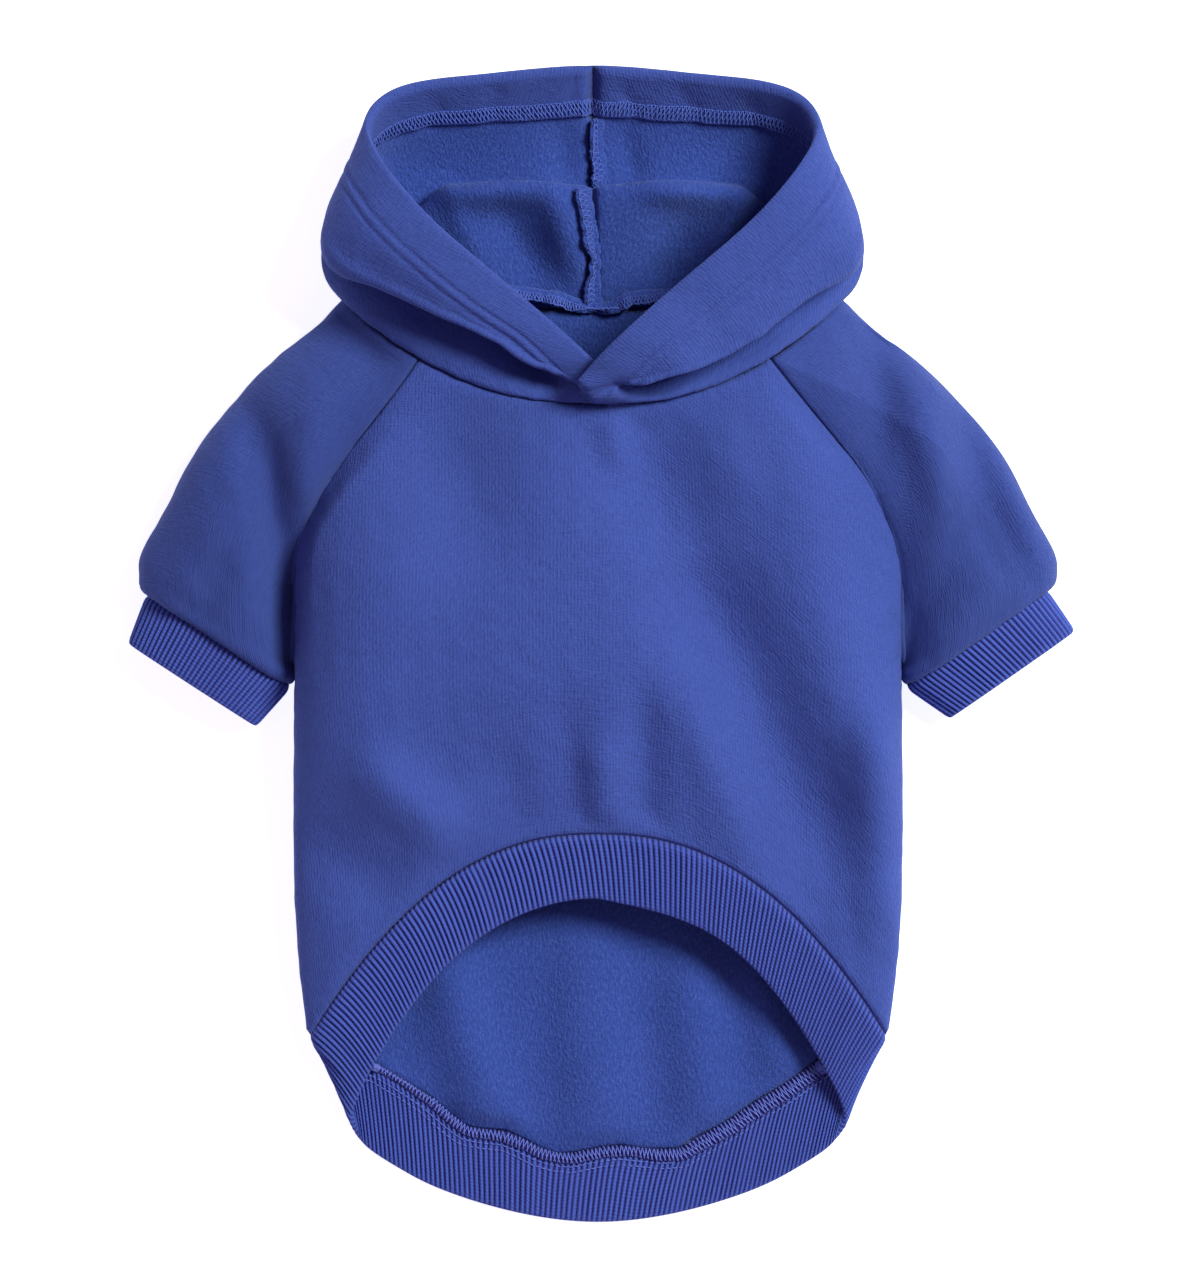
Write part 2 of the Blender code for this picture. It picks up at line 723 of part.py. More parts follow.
def build_panel(panel, material):
    """The panel as a closed solid: both faces of the cloth, and the edges between them."""
    rows, count = panel.grid.shape[:2]
    outer = panel.grid + panel.normals * panel.outer[..., None]
    inner = panel.grid - panel.normals * panel.inner[..., None]
    mesh = bmesh.new()
    top = [[mesh.verts.new(p) for p in row] for row in outer]
    under = [[mesh.verts.new(p) for p in row] for row in inner]
    columns_used = range(count if panel.closed else count - 1)

    def quad(a, b, c, d):
        mesh.faces.new((a, b, c, d))

    for i in range(rows - 1):
        for j in columns_used:
            k = (j + 1) % count
            quad(top[i][j], top[i][k], top[i + 1][k], top[i + 1][j])
            quad(under[i][j], under[i + 1][j], under[i + 1][k], under[i][k])
    for j in columns_used:
        k = (j + 1) % count
        quad(top[0][j], under[0][j], under[0][k], top[0][k])
    if panel.free_edge:
        beyond = unit(panel.grid[-1] - panel.grid[-2])
        middle = (outer[-1] + inner[-1]) / 2
        half = (panel.outer[-1] + panel.inner[-1])[:, None] / 2
        round_edge = [mesh.verts.new(p) for p in middle + beyond * half]
        for j in columns_used:
            k = (j + 1) % count
            quad(top[-1][j], top[-1][k], round_edge[k], round_edge[j])
            quad(round_edge[j], round_edge[k], under[-1][k], under[-1][j])
    else:
        for j in columns_used:
            k = (j + 1) % count
            quad(top[-1][j], top[-1][k], under[-1][k], under[-1][j])
    if not panel.closed:
        for j in (0, count - 1):
            for i in range(rows - 1):
                quad(top[i][j], top[i + 1][j], under[i + 1][j], under[i][j])
            if panel.free_edge:
                mesh.faces.new((top[-1][j], round_edge[j], under[-1][j]))
    bmesh.ops.recalc_face_normals(mesh, faces=mesh.faces)
    data = bpy.data.meshes.new(panel.name)
    mesh.to_mesh(data)
    mesh.free()
    data.materials.append(material)
    data.shade_smooth()
    data.set_sharp_from_angle(angle=math.radians(50))
    piece = bpy.data.objects.new(panel.name, data)
    bpy.context.scene.collection.objects.link(piece)
    return piece


def cloth(name, colour, roughness):
    """A matt cloth surface."""
    material = bpy.data.materials.new(name)
    material.use_nodes = True
    shader = material.node_tree.nodes["Principled BSDF"]
    shader.inputs["Base Color"].default_value = colour
    shader.inputs["Roughness"].default_value = roughness
    shader.inputs["Metallic"].default_value = 0.0
    return material


def mirrored(grid):
    return grid * (-1, 1, 1)


def make_body():
    """The belly and back panels, sewn along their sides."""
    belly = Panel("belly_panel", panel_grid(belly_point, BELLY_STEPS), FLEECE)
    back = Panel("back_panel", panel_grid(back_point, BACK_STEPS), FLEECE, flip=True)
    return belly, back


def make_sleeves():
    """Both sleeves and their cuffs, the +X pair first."""
    pieces = []
    for side, turn in (("right", lambda grid: grid), ("left", mirrored)):
        flip = side == "right"
        pieces.append(
            Panel(f"sleeve_{side}", turn(sleeve_grid(side)), FLEECE, closed=True, flip=flip)
        )
        pieces.append(
            Panel(
                f"cuff_{side}",
                turn(cuff_grid(side)),
                RIB,
                closed=True,
                flip=flip,
                free_edge=True,
            )
        )
    return pieces


def make_hood():
    """Both halves of the hood, with the hem round the face turned in."""
    halves = []
    for side, laps_over, turn in (
        ("right", True, lambda grid: grid),
        ("left", False, mirrored),
    ):
        half = Panel(
            f"hood_{side}",
            turn(hood_grid(laps_over)),
            FLEECE,
            flip=side == "left",
            free_edge=True,
        )
        steps = np.linalg.norm(np.diff(half.grid, axis=0), axis=2)
        to_rim = np.concatenate(
            [np.cumsum(steps[::-1], axis=0)[::-1], np.zeros((1, steps.shape[1]))]
        )
        hem = np.vectorize(ease)((HOOD_HEM_WIDTH - to_rim) / 0.003)
        hem *= np.vectorize(ease)(np.linspace(0, 5, len(hem)))[:, None]
        half.inner += hem * (HOOD_HEM - FLEECE)
        halves.append(half)
    return halves


def main():
    for obj in list(bpy.data.objects):
        bpy.data.objects.remove(obj)
    belly, back = make_body()
    sleeve_right, cuff_right, sleeve_left, cuff_left = make_sleeves()
    hood_right, hood_left = make_hood()
    band = Panel(
        "hem_band",
        band_grid(belly.grid, back.grid),
        RIB,
        closed=True,
        flip=True,
        free_edge=True,
    )
    for panel in (belly, back, sleeve_right, sleeve_left, hood_right, hood_left):
        panel.relieve()
    for panel in (band, cuff_right, cuff_left):
        panel.relieve()
    sew(
        [
            (belly, "first row"),
            (belly, "last row"),
            (belly, "first column"),
            (belly, "last column"),
            (back, "first row"),
            (back, "last row"),
            (back, "first column"),
            (back, "last column"),
            (sleeve_right, "first row"),
            (sleeve_right, "last row"),
            (sleeve_left, "first row"),
            (sleeve_left, "last row"),
            (cuff_right, "first row"),
            (cuff_left, "first row"),
            (band, "first row"),
            (hood_right, "first row"),
            (hood_right, "last column"),
            (hood_left, "first row"),
            (hood_left, "last column"),
        ]
    )
    fleece = cloth("blue_fleece", BLUE_FLEECE, 0.95)
    rib = cloth("blue_rib", BLUE_RIB, 0.9)
    for panel in (belly, back, sleeve_right, sleeve_left, hood_right, hood_left):
        build_panel(panel, fleece)
    for panel in (band, cuff_right, cuff_left):
        build_panel(panel, rib)


main()
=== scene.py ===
"""Looks for the dog hoodie: fine cloth panels, rib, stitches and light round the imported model.

The panels follow the same named sizes as the solids, in many more rows, with folds added.
Left and right are the photo's; +Y is towards the hood. Sizes are in metres. A grid has a row
for each step away from its first seam, and a column for each step along it.
"""

import math
from collections import namedtuple
from functools import lru_cache

import bpy
import numpy as np
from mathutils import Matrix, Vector
from mathutils.bvhtree import BVHTree


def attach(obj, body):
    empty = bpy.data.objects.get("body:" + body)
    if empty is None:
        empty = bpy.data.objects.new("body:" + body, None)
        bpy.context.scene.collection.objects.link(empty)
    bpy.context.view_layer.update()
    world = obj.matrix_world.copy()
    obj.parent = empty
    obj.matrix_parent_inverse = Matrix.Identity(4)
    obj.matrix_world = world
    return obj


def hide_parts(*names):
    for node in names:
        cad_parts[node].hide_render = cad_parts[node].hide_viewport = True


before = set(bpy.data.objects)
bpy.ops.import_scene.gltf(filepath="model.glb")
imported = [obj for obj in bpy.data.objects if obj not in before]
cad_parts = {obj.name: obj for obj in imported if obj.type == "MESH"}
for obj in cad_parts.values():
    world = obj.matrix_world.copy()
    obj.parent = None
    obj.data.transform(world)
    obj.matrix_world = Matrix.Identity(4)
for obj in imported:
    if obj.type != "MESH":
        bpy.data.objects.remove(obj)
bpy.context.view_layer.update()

# The photo: a pixel's size, the pixel at the frame's origin, and the middle of the hood
SCALE = 0.00041
ORIGIN_PIXEL = (598.0, 643.5)
HOOD_PIXEL_X = 592.5
PHOTO_HEIGHT = 1288

# Cloth and seams, and the lowest that a mesh may reach
FLEECE = 0.0022
RIB = 0.0034
HOOD_HEM = 2 * FLEECE
SEAM_DIP = 0.0009
PUCKER_LENGTH = 0.006
PUCKER_HEIGHT = 0.000192
WAVE_LENGTH = 0.016
WAVE_HEIGHT = 0.00012
RIB_PITCH = 0.0025
RIB_GROOVE = 0.00115
BLOUSING = 0.0022
CUFF_RIBS = 68
BAND_RIBS = 248
LOWEST = 0.00005

# Lengths along the middle of the hoodie, as it lies
HOOD_LENGTH = 0.0985
BACK_LENGTH = 0.3480
BELLY_LENGTH = 0.1755
BAND_HEIGHT = 0.025
NECK_DROP = 0.0395

# Body, as it lies
CHEST_WIDTH = 0.2465
CHEST_LOFT = 0.048
WIDEST_HEIGHT = 0.015
ARMPIT_TO_HEM = 0.1535
HEM_CORNER_DROP = 0.0825
NECK_CORNER_RISE = 0.0185
BACK_CORNER_RISE = 0.004
SIDE_SEAM_TURN = math.radians(22)
HEM_LOWERING = 0.24

# Neck
NECK_WIDTH = 0.2000
FRONT_NECK_WIDTH = 0.1420
BACK_NECK_WIDTH = 0.1280
NECK_SIDE_RISE = 0.026

# Sleeves and cuffs
SLEEVE_REACH = 0.157
SLEEVE_LOFT = 0.035
SLEEVE_MID_HEIGHT = 0.011
CUFF_WIDTH = 0.0677
CUFF_END_WIDTH = 0.0600
CUFF_LOFT = 0.024
CUFF_END_LOFT = 0.021
CUFF_HEIGHT = 0.0203
CUFF_TURN = {"left": math.radians(33), "right": math.radians(35)}
CUFF_LEAN = {"left": math.radians(-59), "right": math.radians(-45)}
UNDERARM = 0.0100
CUFF_CLEARANCE = 0.0004

# Hood
HOOD_WIDTH = 0.2220
HOOD_LOFT = 0.063
THROAT_LAP = HOOD_HEM + 0.0038
THROAT_LAP_AT_NECK = FLEECE + 0.0030
HOOD_LEAN = -0.0023
LEAN_START_Y = 0.070
LEAN_RUN = 0.080

# The hood's turned-in hem, measured from the rim, with a ridge between two stitched grooves
TOPSTITCHES = (0.0163, 0.0204)
HEM_FACING = 0.0155
HEM_EDGE = 0.0235
RIM_ROUND = 0.0011
RIM_RADIUS = 0.0030
THROAT_RADIUS = 0.0016
RIDGE_PLACE = 0.0184
RIDGE_WIDTH = 0.0014
RIDGE_HEIGHT = 0.00022
GROOVES = ((0.0162, 0.0010), (0.0205, 0.0011))
GROOVE_DEPTH = 0.00055

# The outline of a cross-section: 2 is an ellipse, more is squarer.
TOP_SQUARENESS = 2.3
BESIDE_BODY_SQUARENESS = 1.0
CUFF_SQUARENESS = 2.0
BODY_HOLD = 0.85
UNDER_SQUARENESS = 3.2
BELLY_ROW_BEND = 2.3
BACK_ROW_BEND = 2.0
UNDER_ROW_REACH = 0.7
SEAM_TURN_SHARE = 0.2

# Places that follow from the sizes. The origin is in the middle of the overall length.
FLOOR = FLEECE / 2
PRESSED = FLEECE / 4
OVERALL_LENGTH = HOOD_LENGTH + BACK_LENGTH + BAND_HEIGHT
CROWN_Y = OVERALL_LENGTH / 2
BACK_NECK_Y = CROWN_Y - HOOD_LENGTH
BACK_CORNER_Y = BACK_NECK_Y + BACK_CORNER_RISE
BACK_HEM_Y = BACK_NECK_Y - BACK_LENGTH
FRONT_NECK_Y = BACK_NECK_Y - NECK_DROP
BELLY_HEM_Y = FRONT_NECK_Y - BELLY_LENGTH
HEM_CORNER_Y = BELLY_HEM_Y - HEM_CORNER_DROP
ARMPIT_Y = HEM_CORNER_Y + ARMPIT_TO_HEM
NECK_CORNER_Y = FRONT_NECK_Y + NECK_CORNER_RISE
NECK_SIDE_Y = NECK_CORNER_Y + NECK_SIDE_RISE
MIRROR = (-1, 1, 1)
EDGES = ("first row", "last row", "first column", "last column")

# How finely the pieces are divided
BELLY_STEPS = 90
BACK_STEPS = 72
SIDE_ROWS = 60
RAGLAN_ROWS = 60
NECK_SIDE_STEPS = 60
SLEEVE_ROWS = 100
HOOD_ROWS = 150
RIB_ROWS = 18
RIB_FACETS = 6
THREAD_POINTS = 9
OVERLOCK_SIDES = 4
STITCH_SIDES = 5
LANES = np.linspace(0, 1, 9)
DRAPE_STEP = 0.0005

# The body from the hem to the neck: the share of the way, half its width as a share of
# half the chest, and the height of its middle as a share of the chest's loft.
BODY_LEVELS = (
    (0.00, 0.955, 0.76),
    (0.08, 0.985, 0.83),
    (0.22, 1.002, 0.92),
    (0.42, 1.000, 0.99),
    (0.60, 1.005, 1.00),
    (0.80, 0.960, 0.97),
    (1.00, 0.880, 0.90),
)
ARMPIT_SHARE = 0.42
RAGLAN_SHARES = np.linspace(ARMPIT_SHARE, 1, RAGLAN_ROWS + 1)
BODY_SHARES = (*np.linspace(0, ARMPIT_SHARE, SIDE_ROWS + 1), *RAGLAN_SHARES[1:])

# The raglan seams: the share of the way from the armpit to the neck, out from the neck
# corner (0) to the armpit (1), and along from the armpit (0) to the corner (1).
FRONT_RAGLAN = (
    (0.00, 1.00, 0.00),
    (0.18, 1.00, 0.18),
    (0.36, 0.98, 0.37),
    (0.52, 0.85, 0.52),
    (0.70, 0.58, 0.69),
    (0.86, 0.27, 0.85),
    (1.00, 0.00, 1.00),
)
BACK_RAGLAN = (
    (0.00, 1.00, 0.00),
    (0.25, 0.88, 0.25),
    (0.50, 0.65, 0.50),
    (0.75, 0.34, 0.76),
    (1.00, 0.00, 1.00),
)

# The side of the neck: the share of the way from the front corner over the shoulder to the
# back corner, out as a share of half the neck's width, along from the front corner (0) to
# the side (1), and up from the floor (0) to the front corner's height (1).
NECK_SIDE = (
    (0.26, 0.860, 0.40, 0.80),
    (0.46, 0.965, 0.77, 0.54),
    (0.60, 1.000, 0.98, 0.30),
    (0.72, 0.950, 1.05, 0.13),
    (0.86, 0.800, 0.98, 0.02),
)

# The sleeve's sections, fanned round the underarm: the share of the way from the neck side
# to the cuff, the direction in degrees from straight out, the reach as a share of the
# sleeve's reach, and the height as a share of the sleeve's loft.
SLEEVE_FAN = (
    (0.22, 88.0, 0.790, 1.00),
    (0.42, 77.5, 0.691, 0.98),
    (0.60, 66.0, 0.611, 0.94),
    (0.78, 50.0, 0.524, 0.88),
    (0.92, 37.5, 0.486, 0.80),
)

# The free edge of the hem band: the share of the way from the middle of the belly to the
# middle of the back, out as a share of half the chest, along from the belly hem (0) to the
# end of the back (1), and up as a share of the chest's loft.
BAND_EDGE = (
    (0.00, 0.000, 0.157, 0.66),
    (0.15, 0.383, 0.252, 0.62),
    (0.30, 0.655, 0.470, 0.47),
    (0.45, 0.805, 0.674, 0.25),
    (0.60, 0.815, 0.752, 0.13),
    (0.70, 0.775, 0.802, 0.05),
    (0.80, 0.660, 0.862, 0.034),
    (0.90, 0.450, 0.936, 0.034),
    (1.00, 0.000, 1.000, 0.034),
)

# Half the hood at ten stations from the throat (around 0) to the crown seam (around 1). The
# hood leaves the neck seam at that share of the seam's length. The rings run between the
# neck seam and the rim: out as a share of half the hood's width, along from the back neck
# (0) to the crown (1), and up as a share of the hood's loft.
STATION_AROUND = (0.000, 0.046, 0.156, 0.285, 0.407, 0.520, 0.590, 0.660, 0.810, 1.000)
STATION_NECK = (-0.017, 0.067, 0.190, 0.310, 0.420, 0.505, 0.550, 0.640, 0.800, 1.000)
HOOD_RINGS = {
    "roll": (
        (-0.05, 0.14, 0.38, 0.62, 0.80, 0.95, 0.98, 0.85, 0.43, 0.00),
        (-0.380, -0.350, -0.290, -0.165, -0.030, 0.085, 0.170, 0.210, 0.180, 0.160),
        (0.75, 0.78, 0.79, 0.73, 0.60, 0.41, 0.27, 0.08, 0.09, 0.10),
    ),
    "inner fold": (
        (-0.06, 0.14, 0.37, 0.61, 0.80, 0.96, 0.97, 0.85, 0.41, 0.00),
        (-0.365, -0.290, -0.185, -0.055, 0.075, 0.145, 0.290, 0.310, 0.470, 0.500),
        (0.77, 0.795, 0.835, 0.785, 0.67, 0.48, 0.34, 0.09, 0.22, 0.26),
    ),
    "outer fold": (
        (-0.06, 0.14, 0.37, 0.60, 0.83, 0.985, 0.94, 0.84, 0.40, 0.00),
        (-0.355, -0.285, -0.210, -0.077, 0.045, 0.185, 0.400, 0.400, 0.420, 0.430),
        (0.795, 0.825, 0.90, 0.87, 0.73, 0.56, 0.41, 0.11, 0.10, 0.11),
    ),
    "flap": (
        (-0.06, 0.09, 0.32, 0.55, 0.79, 0.930, 0.895, 0.815, 0.40, 0.00),
        (-0.345, -0.265, -0.130, 0.010, 0.165, 0.340, 0.560, 0.560, 0.610, 0.620),
        (0.82, 0.87, 0.97, 0.98, 0.90, 0.76, 0.54, 0.16, 0.05, 0.05),
    ),
    "rim": (
        (-0.067, 0.00, 0.18, 0.40, 0.61, 0.775, 0.830, 0.775, 0.44, 0.00),
        (-0.330, -0.245, -0.055, 0.155, 0.365, 0.590, 0.735, 0.860, 0.955, 0.995),
        (0.83, 0.87, 0.96, 1.00, 0.95, 0.84, 0.66, 0.50, 0.36, 0.32),
    ),
}

# Soft folds: the pixels of both ends, the width, the height (+ up), the share of the length
# over which the ends fade, and how far the fold bows as a share of its length
Fold = namedtuple("Fold", "x0 y0 x1 y1 width height soft bow", defaults=(0.6, 0.0))
BELLY_FOLDS = (
    (340, 470, 345, 920, 0.030, 0.0100, 0.5),
    (425, 480, 395, 640, 0.026, 0.0044, 0.8),
    (790, 400, 870, 800, 0.020, 0.0056, 0.4, -0.02),
    (876, 720, 884, 930, 0.012, 0.0105, 0.4),
    (630, 430, 715, 620, 0.020, -0.0082, 0.5),
    (705, 600, 825, 870, 0.021, -0.0132, 0.4, 0.02),
    (440, 430, 480, 560, 0.022, -0.0062, 0.8),
    (715, 430, 745, 500, 0.012, 0.0030, 0.8),
    (318, 830, 395, 902, 0.016, -0.0080),
    (366, 766, 450, 836, 0.012, 0.0100),
    (598, 740, 611, 850, 0.0065, 0.0048, 0.5),
    (566, 700, 574, 830, 0.009, -0.0024),
    (640, 690, 650, 850, 0.008, -0.0040),
    (690, 700, 745, 850, 0.011, 0.0046),
    (500, 750, 530, 840, 0.010, -0.0022),
    (606, 405, 622, 470, 0.0070, 0.0042, 0.8),
)
BACK_FOLDS = (
    (395, 1110, 415, 950, 0.010, -0.0010, 0.7),
    (500, 1150, 440, 930, 0.013, 0.0085, 0.7, 0.02),
    (600, 1170, 585, 930, 0.014, 0.0080, 0.7),
    (708, 1140, 685, 960, 0.013, 0.0075, 0.7),
    (785, 1095, 760, 970, 0.010, 0.0050, 0.7),
)
LEFT_SLEEVE_FOLDS = (
    (252, 400, 288, 640, 0.010, -0.0080, 0.5, 0.03),
    (285, 520, 296, 640, 0.014, -0.0016),
    (345, 300, 385, 380, 0.010, -0.0045),
    (290, 330, 190, 560, 0.018, 0.0030, 0.6, -0.05),
    (318, 380, 300, 520, 0.010, 0.0036),
    (172, 600, 215, 520, 0.008, 0.0020),
    (200, 620, 232, 560, 0.007, -0.0018),
)
RIGHT_SLEEVE_FOLDS = (
    (872, 340, 884, 480, 0.011, -0.0060),
    (918, 360, 938, 500, 0.012, 0.0040),
    (958, 420, 1005, 560, 0.012, -0.0080),
    (905, 650, 965, 520, 0.010, -0.0042),
    (912, 440, 905, 610, 0.009, -0.0030, 0.5),
    (935, 650, 1000, 570, 0.009, 0.0024),
    (985, 430, 1045, 570, 0.010, 0.0040, 0.7),
)
INSIDE_FOLDS = (
    (498, 200, 540, 275, 0.011, -0.0066, 0.7),
    (552, 190, 578, 275, 0.0070, 0.0045),
    (448, 200, 486, 275, 0.0050, 0.0016),
    (690, 215, 662, 290, 0.012, -0.0055, 0.7),
    (745, 195, 712, 262, 0.0045, 0.0034),
    (625, 130, 635, 185, 0.006, -0.0022, 0.7),
    (560, 125, 566, 185, 0.007, -0.0018, 0.7),
    (578, 72, 572, 106, 0.0035, -0.0012, 0.5),
    (622, 84, 640, 112, 0.0035, -0.0012, 0.5),
    (675, 82, 700, 112, 0.005, -0.0012, 0.5),
    (500, 84, 488, 112, 0.005, -0.0012, 0.5),
    (440, 98, 425, 125, 0.005, -0.0012, 0.5),
    (745, 95, 765, 125, 0.005, -0.0012, 0.5),
)

# How far the back hem's seam is pushed up, at these columns of the photo
HEM_WAVE = (
    (
        330, 370, 410, 432, 452, 467, 485, 505, 522, 540, 557, 572, 600, 620, 650, 680, 692, 710,
        730, 750, 790, 825, 860,
    ),
    (
        0.0040, 0.0084, 0.0080, 0.0070, 0.0038, 0.0016, 0.0030, 0.0052, 0.0036, 0.0010, -0.0006,
        0.0006, 0.0034, 0.0038, 0.0008, -0.0010, 0.0020, 0.0030, 0.0050, 0.0078, 0.0094, 0.0110,
        0.0050,
    ),
)

# The seam allowances that show: the pixels of the seam, the allowance's width, and the
# height from which the cloth below it is looked for
Course = namedtuple("Course", "x y width top")
BACK_HEM = Course(
    (
        352, 370, 387, 410, 432, 452, 467, 485, 505, 522, 540, 557, 572, 585, 600, 620, 640, 660,
        680, 692, 710, 730, 750, 770, 790, 810, 826, 842,
    ),
    (
        1050, 1061, 1070, 1084, 1099, 1117, 1128, 1131, 1133, 1140, 1149, 1154, 1155, 1152, 1149,
        1147, 1149, 1151, 1150, 1142, 1132, 1120, 1106, 1094, 1081, 1067, 1055, 1044,
    ),
    (
        0.0030, 0.0030, 0.0030, 0.0032, 0.0032, 0.0034, 0.0036, 0.0040, 0.0040, 0.0040, 0.0040,
        0.0042, 0.0042, 0.0042, 0.0042, 0.0042, 0.0042, 0.0044, 0.0050, 0.0056, 0.0060, 0.0066,
        0.0066, 0.0066, 0.0064, 0.0064, 0.0064, 0.0060,
    ),
    0.012,
)

# The upper row of stitches shows along this many points of the back hem, from the left
BACK_HEM_LEFT_POINTS = 19

UPPER_CENTRE = Course(
    (603, 604, 603, 605, 607, 608, 607, 604),
    (117, 128, 140, 154, 164, 173, 182, 192),
    (0.0058, 0.0064, 0.0066, 0.0064, 0.0056, 0.0054, 0.0054, 0.0058),
    (0.040, 0.040, 0.020, 0.014, 0.012, 0.011, 0.010, 0.009),
)
LOWER_CENTRE = Course(
    (592, 592, 594, 597, 600, 601, 600, 601, 603),
    (190, 198, 212, 228, 246, 260, 276, 290, 304),
    (0.0072, 0.0074, 0.0072, 0.0074, 0.0074, 0.0062, 0.0068, 0.0080, 0.0086),
    0.060,
)
BACK_NECK = Course(
    (500, 534, 548, 564, 574, 586, 600, 610, 620, 632, 650, 666, 700),
    (284, 289, 291, 293, 297, 301, 303, 302, 295, 291, 290, 290, 286),
    (
        0.0046, 0.0046, 0.0046, 0.0046, 0.0048, 0.0050, 0.0050, 0.0050, 0.0048, 0.0046, 0.0046,
        0.0046, 0.0046,
    ),
    0.016,
)


def mix(a, b, share):
    return a + (b - a) * share


def smooth(share):
    """0 before share 0 and 1 after share 1, with a smooth step between."""
    share = np.clip(share, 0.0, 1.0)
    return share * share * (3 - 2 * share)


def ramp(value, start, end):
    """A smooth step from 0 at the start to 1 at the end, which may lie below the start."""
    return smooth((value - start) / (end - start))


def bell(value, middle, width):
    return np.exp(-(((value - middle) / width) ** 2))


def unit(vectors):
    return vectors / np.maximum(np.linalg.norm(vectors, axis=-1, keepdims=True), 1e-12)


def direction(turn):
    return np.array([math.cos(turn), math.sin(turn)])


def placed(*columns):
    """Points, or rows of a table, from their columns."""
    return np.stack(np.broadcast_arrays(*columns), axis=-1)


def kept_above(points, lowest):
    points[..., 2] = np.maximum(points[..., 2], lowest)
    return points


def so_far(line, power=1.0):
    """The length of a line of points up to each of them, from steps to this power."""
    steps = np.linalg.norm(np.diff(line, axis=0), axis=1) ** power
    return np.concatenate([[0], np.cumsum(steps)])


def spline(knots, values, at):
    """A natural cubic spline through the values at the knots, read at the places in `at`."""
    knots, at = np.asarray(knots, float), np.asarray(at, float)
    values = np.asarray(values, float)
    flat = values.reshape(len(knots), -1)
    step = np.diff(knots)
    slope = np.diff(flat, axis=0) / step[:, None]
    matrix = np.eye(len(knots))
    for i in range(1, len(knots) - 1):
        matrix[i, i - 1 : i + 2] = step[i - 1], 2 * (step[i - 1] + step[i]), step[i]
    right = np.zeros_like(flat)
    right[1:-1] = 6 * np.diff(slope, axis=0)
    curve = np.linalg.solve(matrix, right)
    i = np.clip(np.searchsorted(knots, at, side="right") - 1, 0, len(knots) - 2)
    h = step[i][:, None]
    a = (knots[i + 1] - at)[:, None] / h
    b = 1 - a
    bend = ((a**3 - a) * curve[i] + (b**3 - b) * curve[i + 1]) * h**2 / 6
    return (a * flat[i] + b * flat[i + 1] + bend).reshape(len(at), *values.shape[1:])


def read(table, share):
    """A table's other columns, where its first one has this share."""
    table = np.array(table)
    return spline(table[:, 0], table[:, 1:], [share])[0]


@lru_cache(maxsize=None)
def body_size(share):
    """(half width, crown height) of the body at this share of the way to the neck."""
    half_width, crown = read(BODY_LEVELS, share)
    return half_width * CHEST_WIDTH / 2, crown * CHEST_LOFT


@lru_cache(maxsize=None)
def raglan_place(table, share, corner_out, corner_y):
    """(out, y) of a raglan seam at this share of the body, from the armpit up."""
    out, along = read(table, (share - ARMPIT_SHARE) / (1 - ARMPIT_SHARE))
    return mix(corner_out, body_size(ARMPIT_SHARE)[0], out), mix(ARMPIT_Y, corner_y, along)


def power(value, squareness):
    return math.copysign(abs(value) ** (2 / squareness), value)


def section(turn, half_width, crown):
    """(out, up) on the body's puffed cross-section, which lies on the floor; turn 0 is its side."""
    across, up = math.cos(turn), math.sin(turn)
    if up >= 0:
        height = mix(WIDEST_HEIGHT, crown, power(up, TOP_SQUARENESS))
        return half_width * power(across, TOP_SQUARENESS), height
    height = WIDEST_HEIGHT + (WIDEST_HEIGHT - FLOOR + PRESSED) * power(up, UNDER_SQUARENESS)
    return half_width * power(across, UNDER_SQUARENESS), max(height, FLOOR)


def side_turn(share):
    """Where the side seam runs on the cross-section. It comes up to the armpit."""
    return -SIDE_SEAM_TURN * ramp(share, ARMPIT_SHARE, ARMPIT_SHARE - SEAM_TURN_SHARE)


def turn_at(out, half_width, squareness):
    """The turn from the side at which the cross-section is this far out."""
    return math.acos(min(out / half_width, 1.0) ** (squareness / 2))


def belly_point(share, across):
    """A point of the belly; across is 0 at the middle and 1 at the seam at its edge."""
    half_width, crown = body_size(share)
    if share <= ARMPIT_SHARE:
        last, edge_out = side_turn(share), half_width
        edge_y = mix(HEM_CORNER_Y, ARMPIT_Y, share / ARMPIT_SHARE)
    else:
        edge_out, edge_y = raglan_place(FRONT_RAGLAN, share, FRONT_NECK_WIDTH / 2, NECK_CORNER_Y)
        last = turn_at(edge_out, half_width, TOP_SQUARENESS)
    turn = mix(math.pi / 2, last, abs(across))
    out, up = section(turn, half_width, crown)
    reach = out / edge_out if turn >= 0 else 1 + UNDER_ROW_REACH * (1 - out / half_width)
    y = mix(mix(BELLY_HEM_Y, FRONT_NECK_Y, share), edge_y, reach**BELLY_ROW_BEND)
    return math.copysign(out, across), y, up


def back_point(share, across):
    """A point of the back; across is 0 at the middle and 1 at the seam at its edge."""
    half_width, crown = body_size(share)
    if share <= ARMPIT_SHARE:
        first, edge_y = side_turn(share), belly_point(share, 1.0)[1]
    else:
        out, edge_y = raglan_place(BACK_RAGLAN, share, BACK_NECK_WIDTH / 2, BACK_CORNER_Y)
        first = -turn_at(out, half_width, UNDER_SQUARENESS)
    edge_out = section(first, half_width, crown)[0]
    out, up = section(mix(-math.pi / 2, first, abs(across)), half_width, crown)
    y = mix(mix(BACK_HEM_Y, BACK_NECK_Y, share), edge_y, (out / edge_out) ** BACK_ROW_BEND)
    return math.copysign(out, across), y, up


def panel_grid(point, steps):
    """A body panel's middle surface, one row for each share, from -X to +X."""
    across = np.linspace(-1, 1, 2 * steps + 1)
    return np.array([[point(share, a) for a in across] for share in BODY_SHARES])


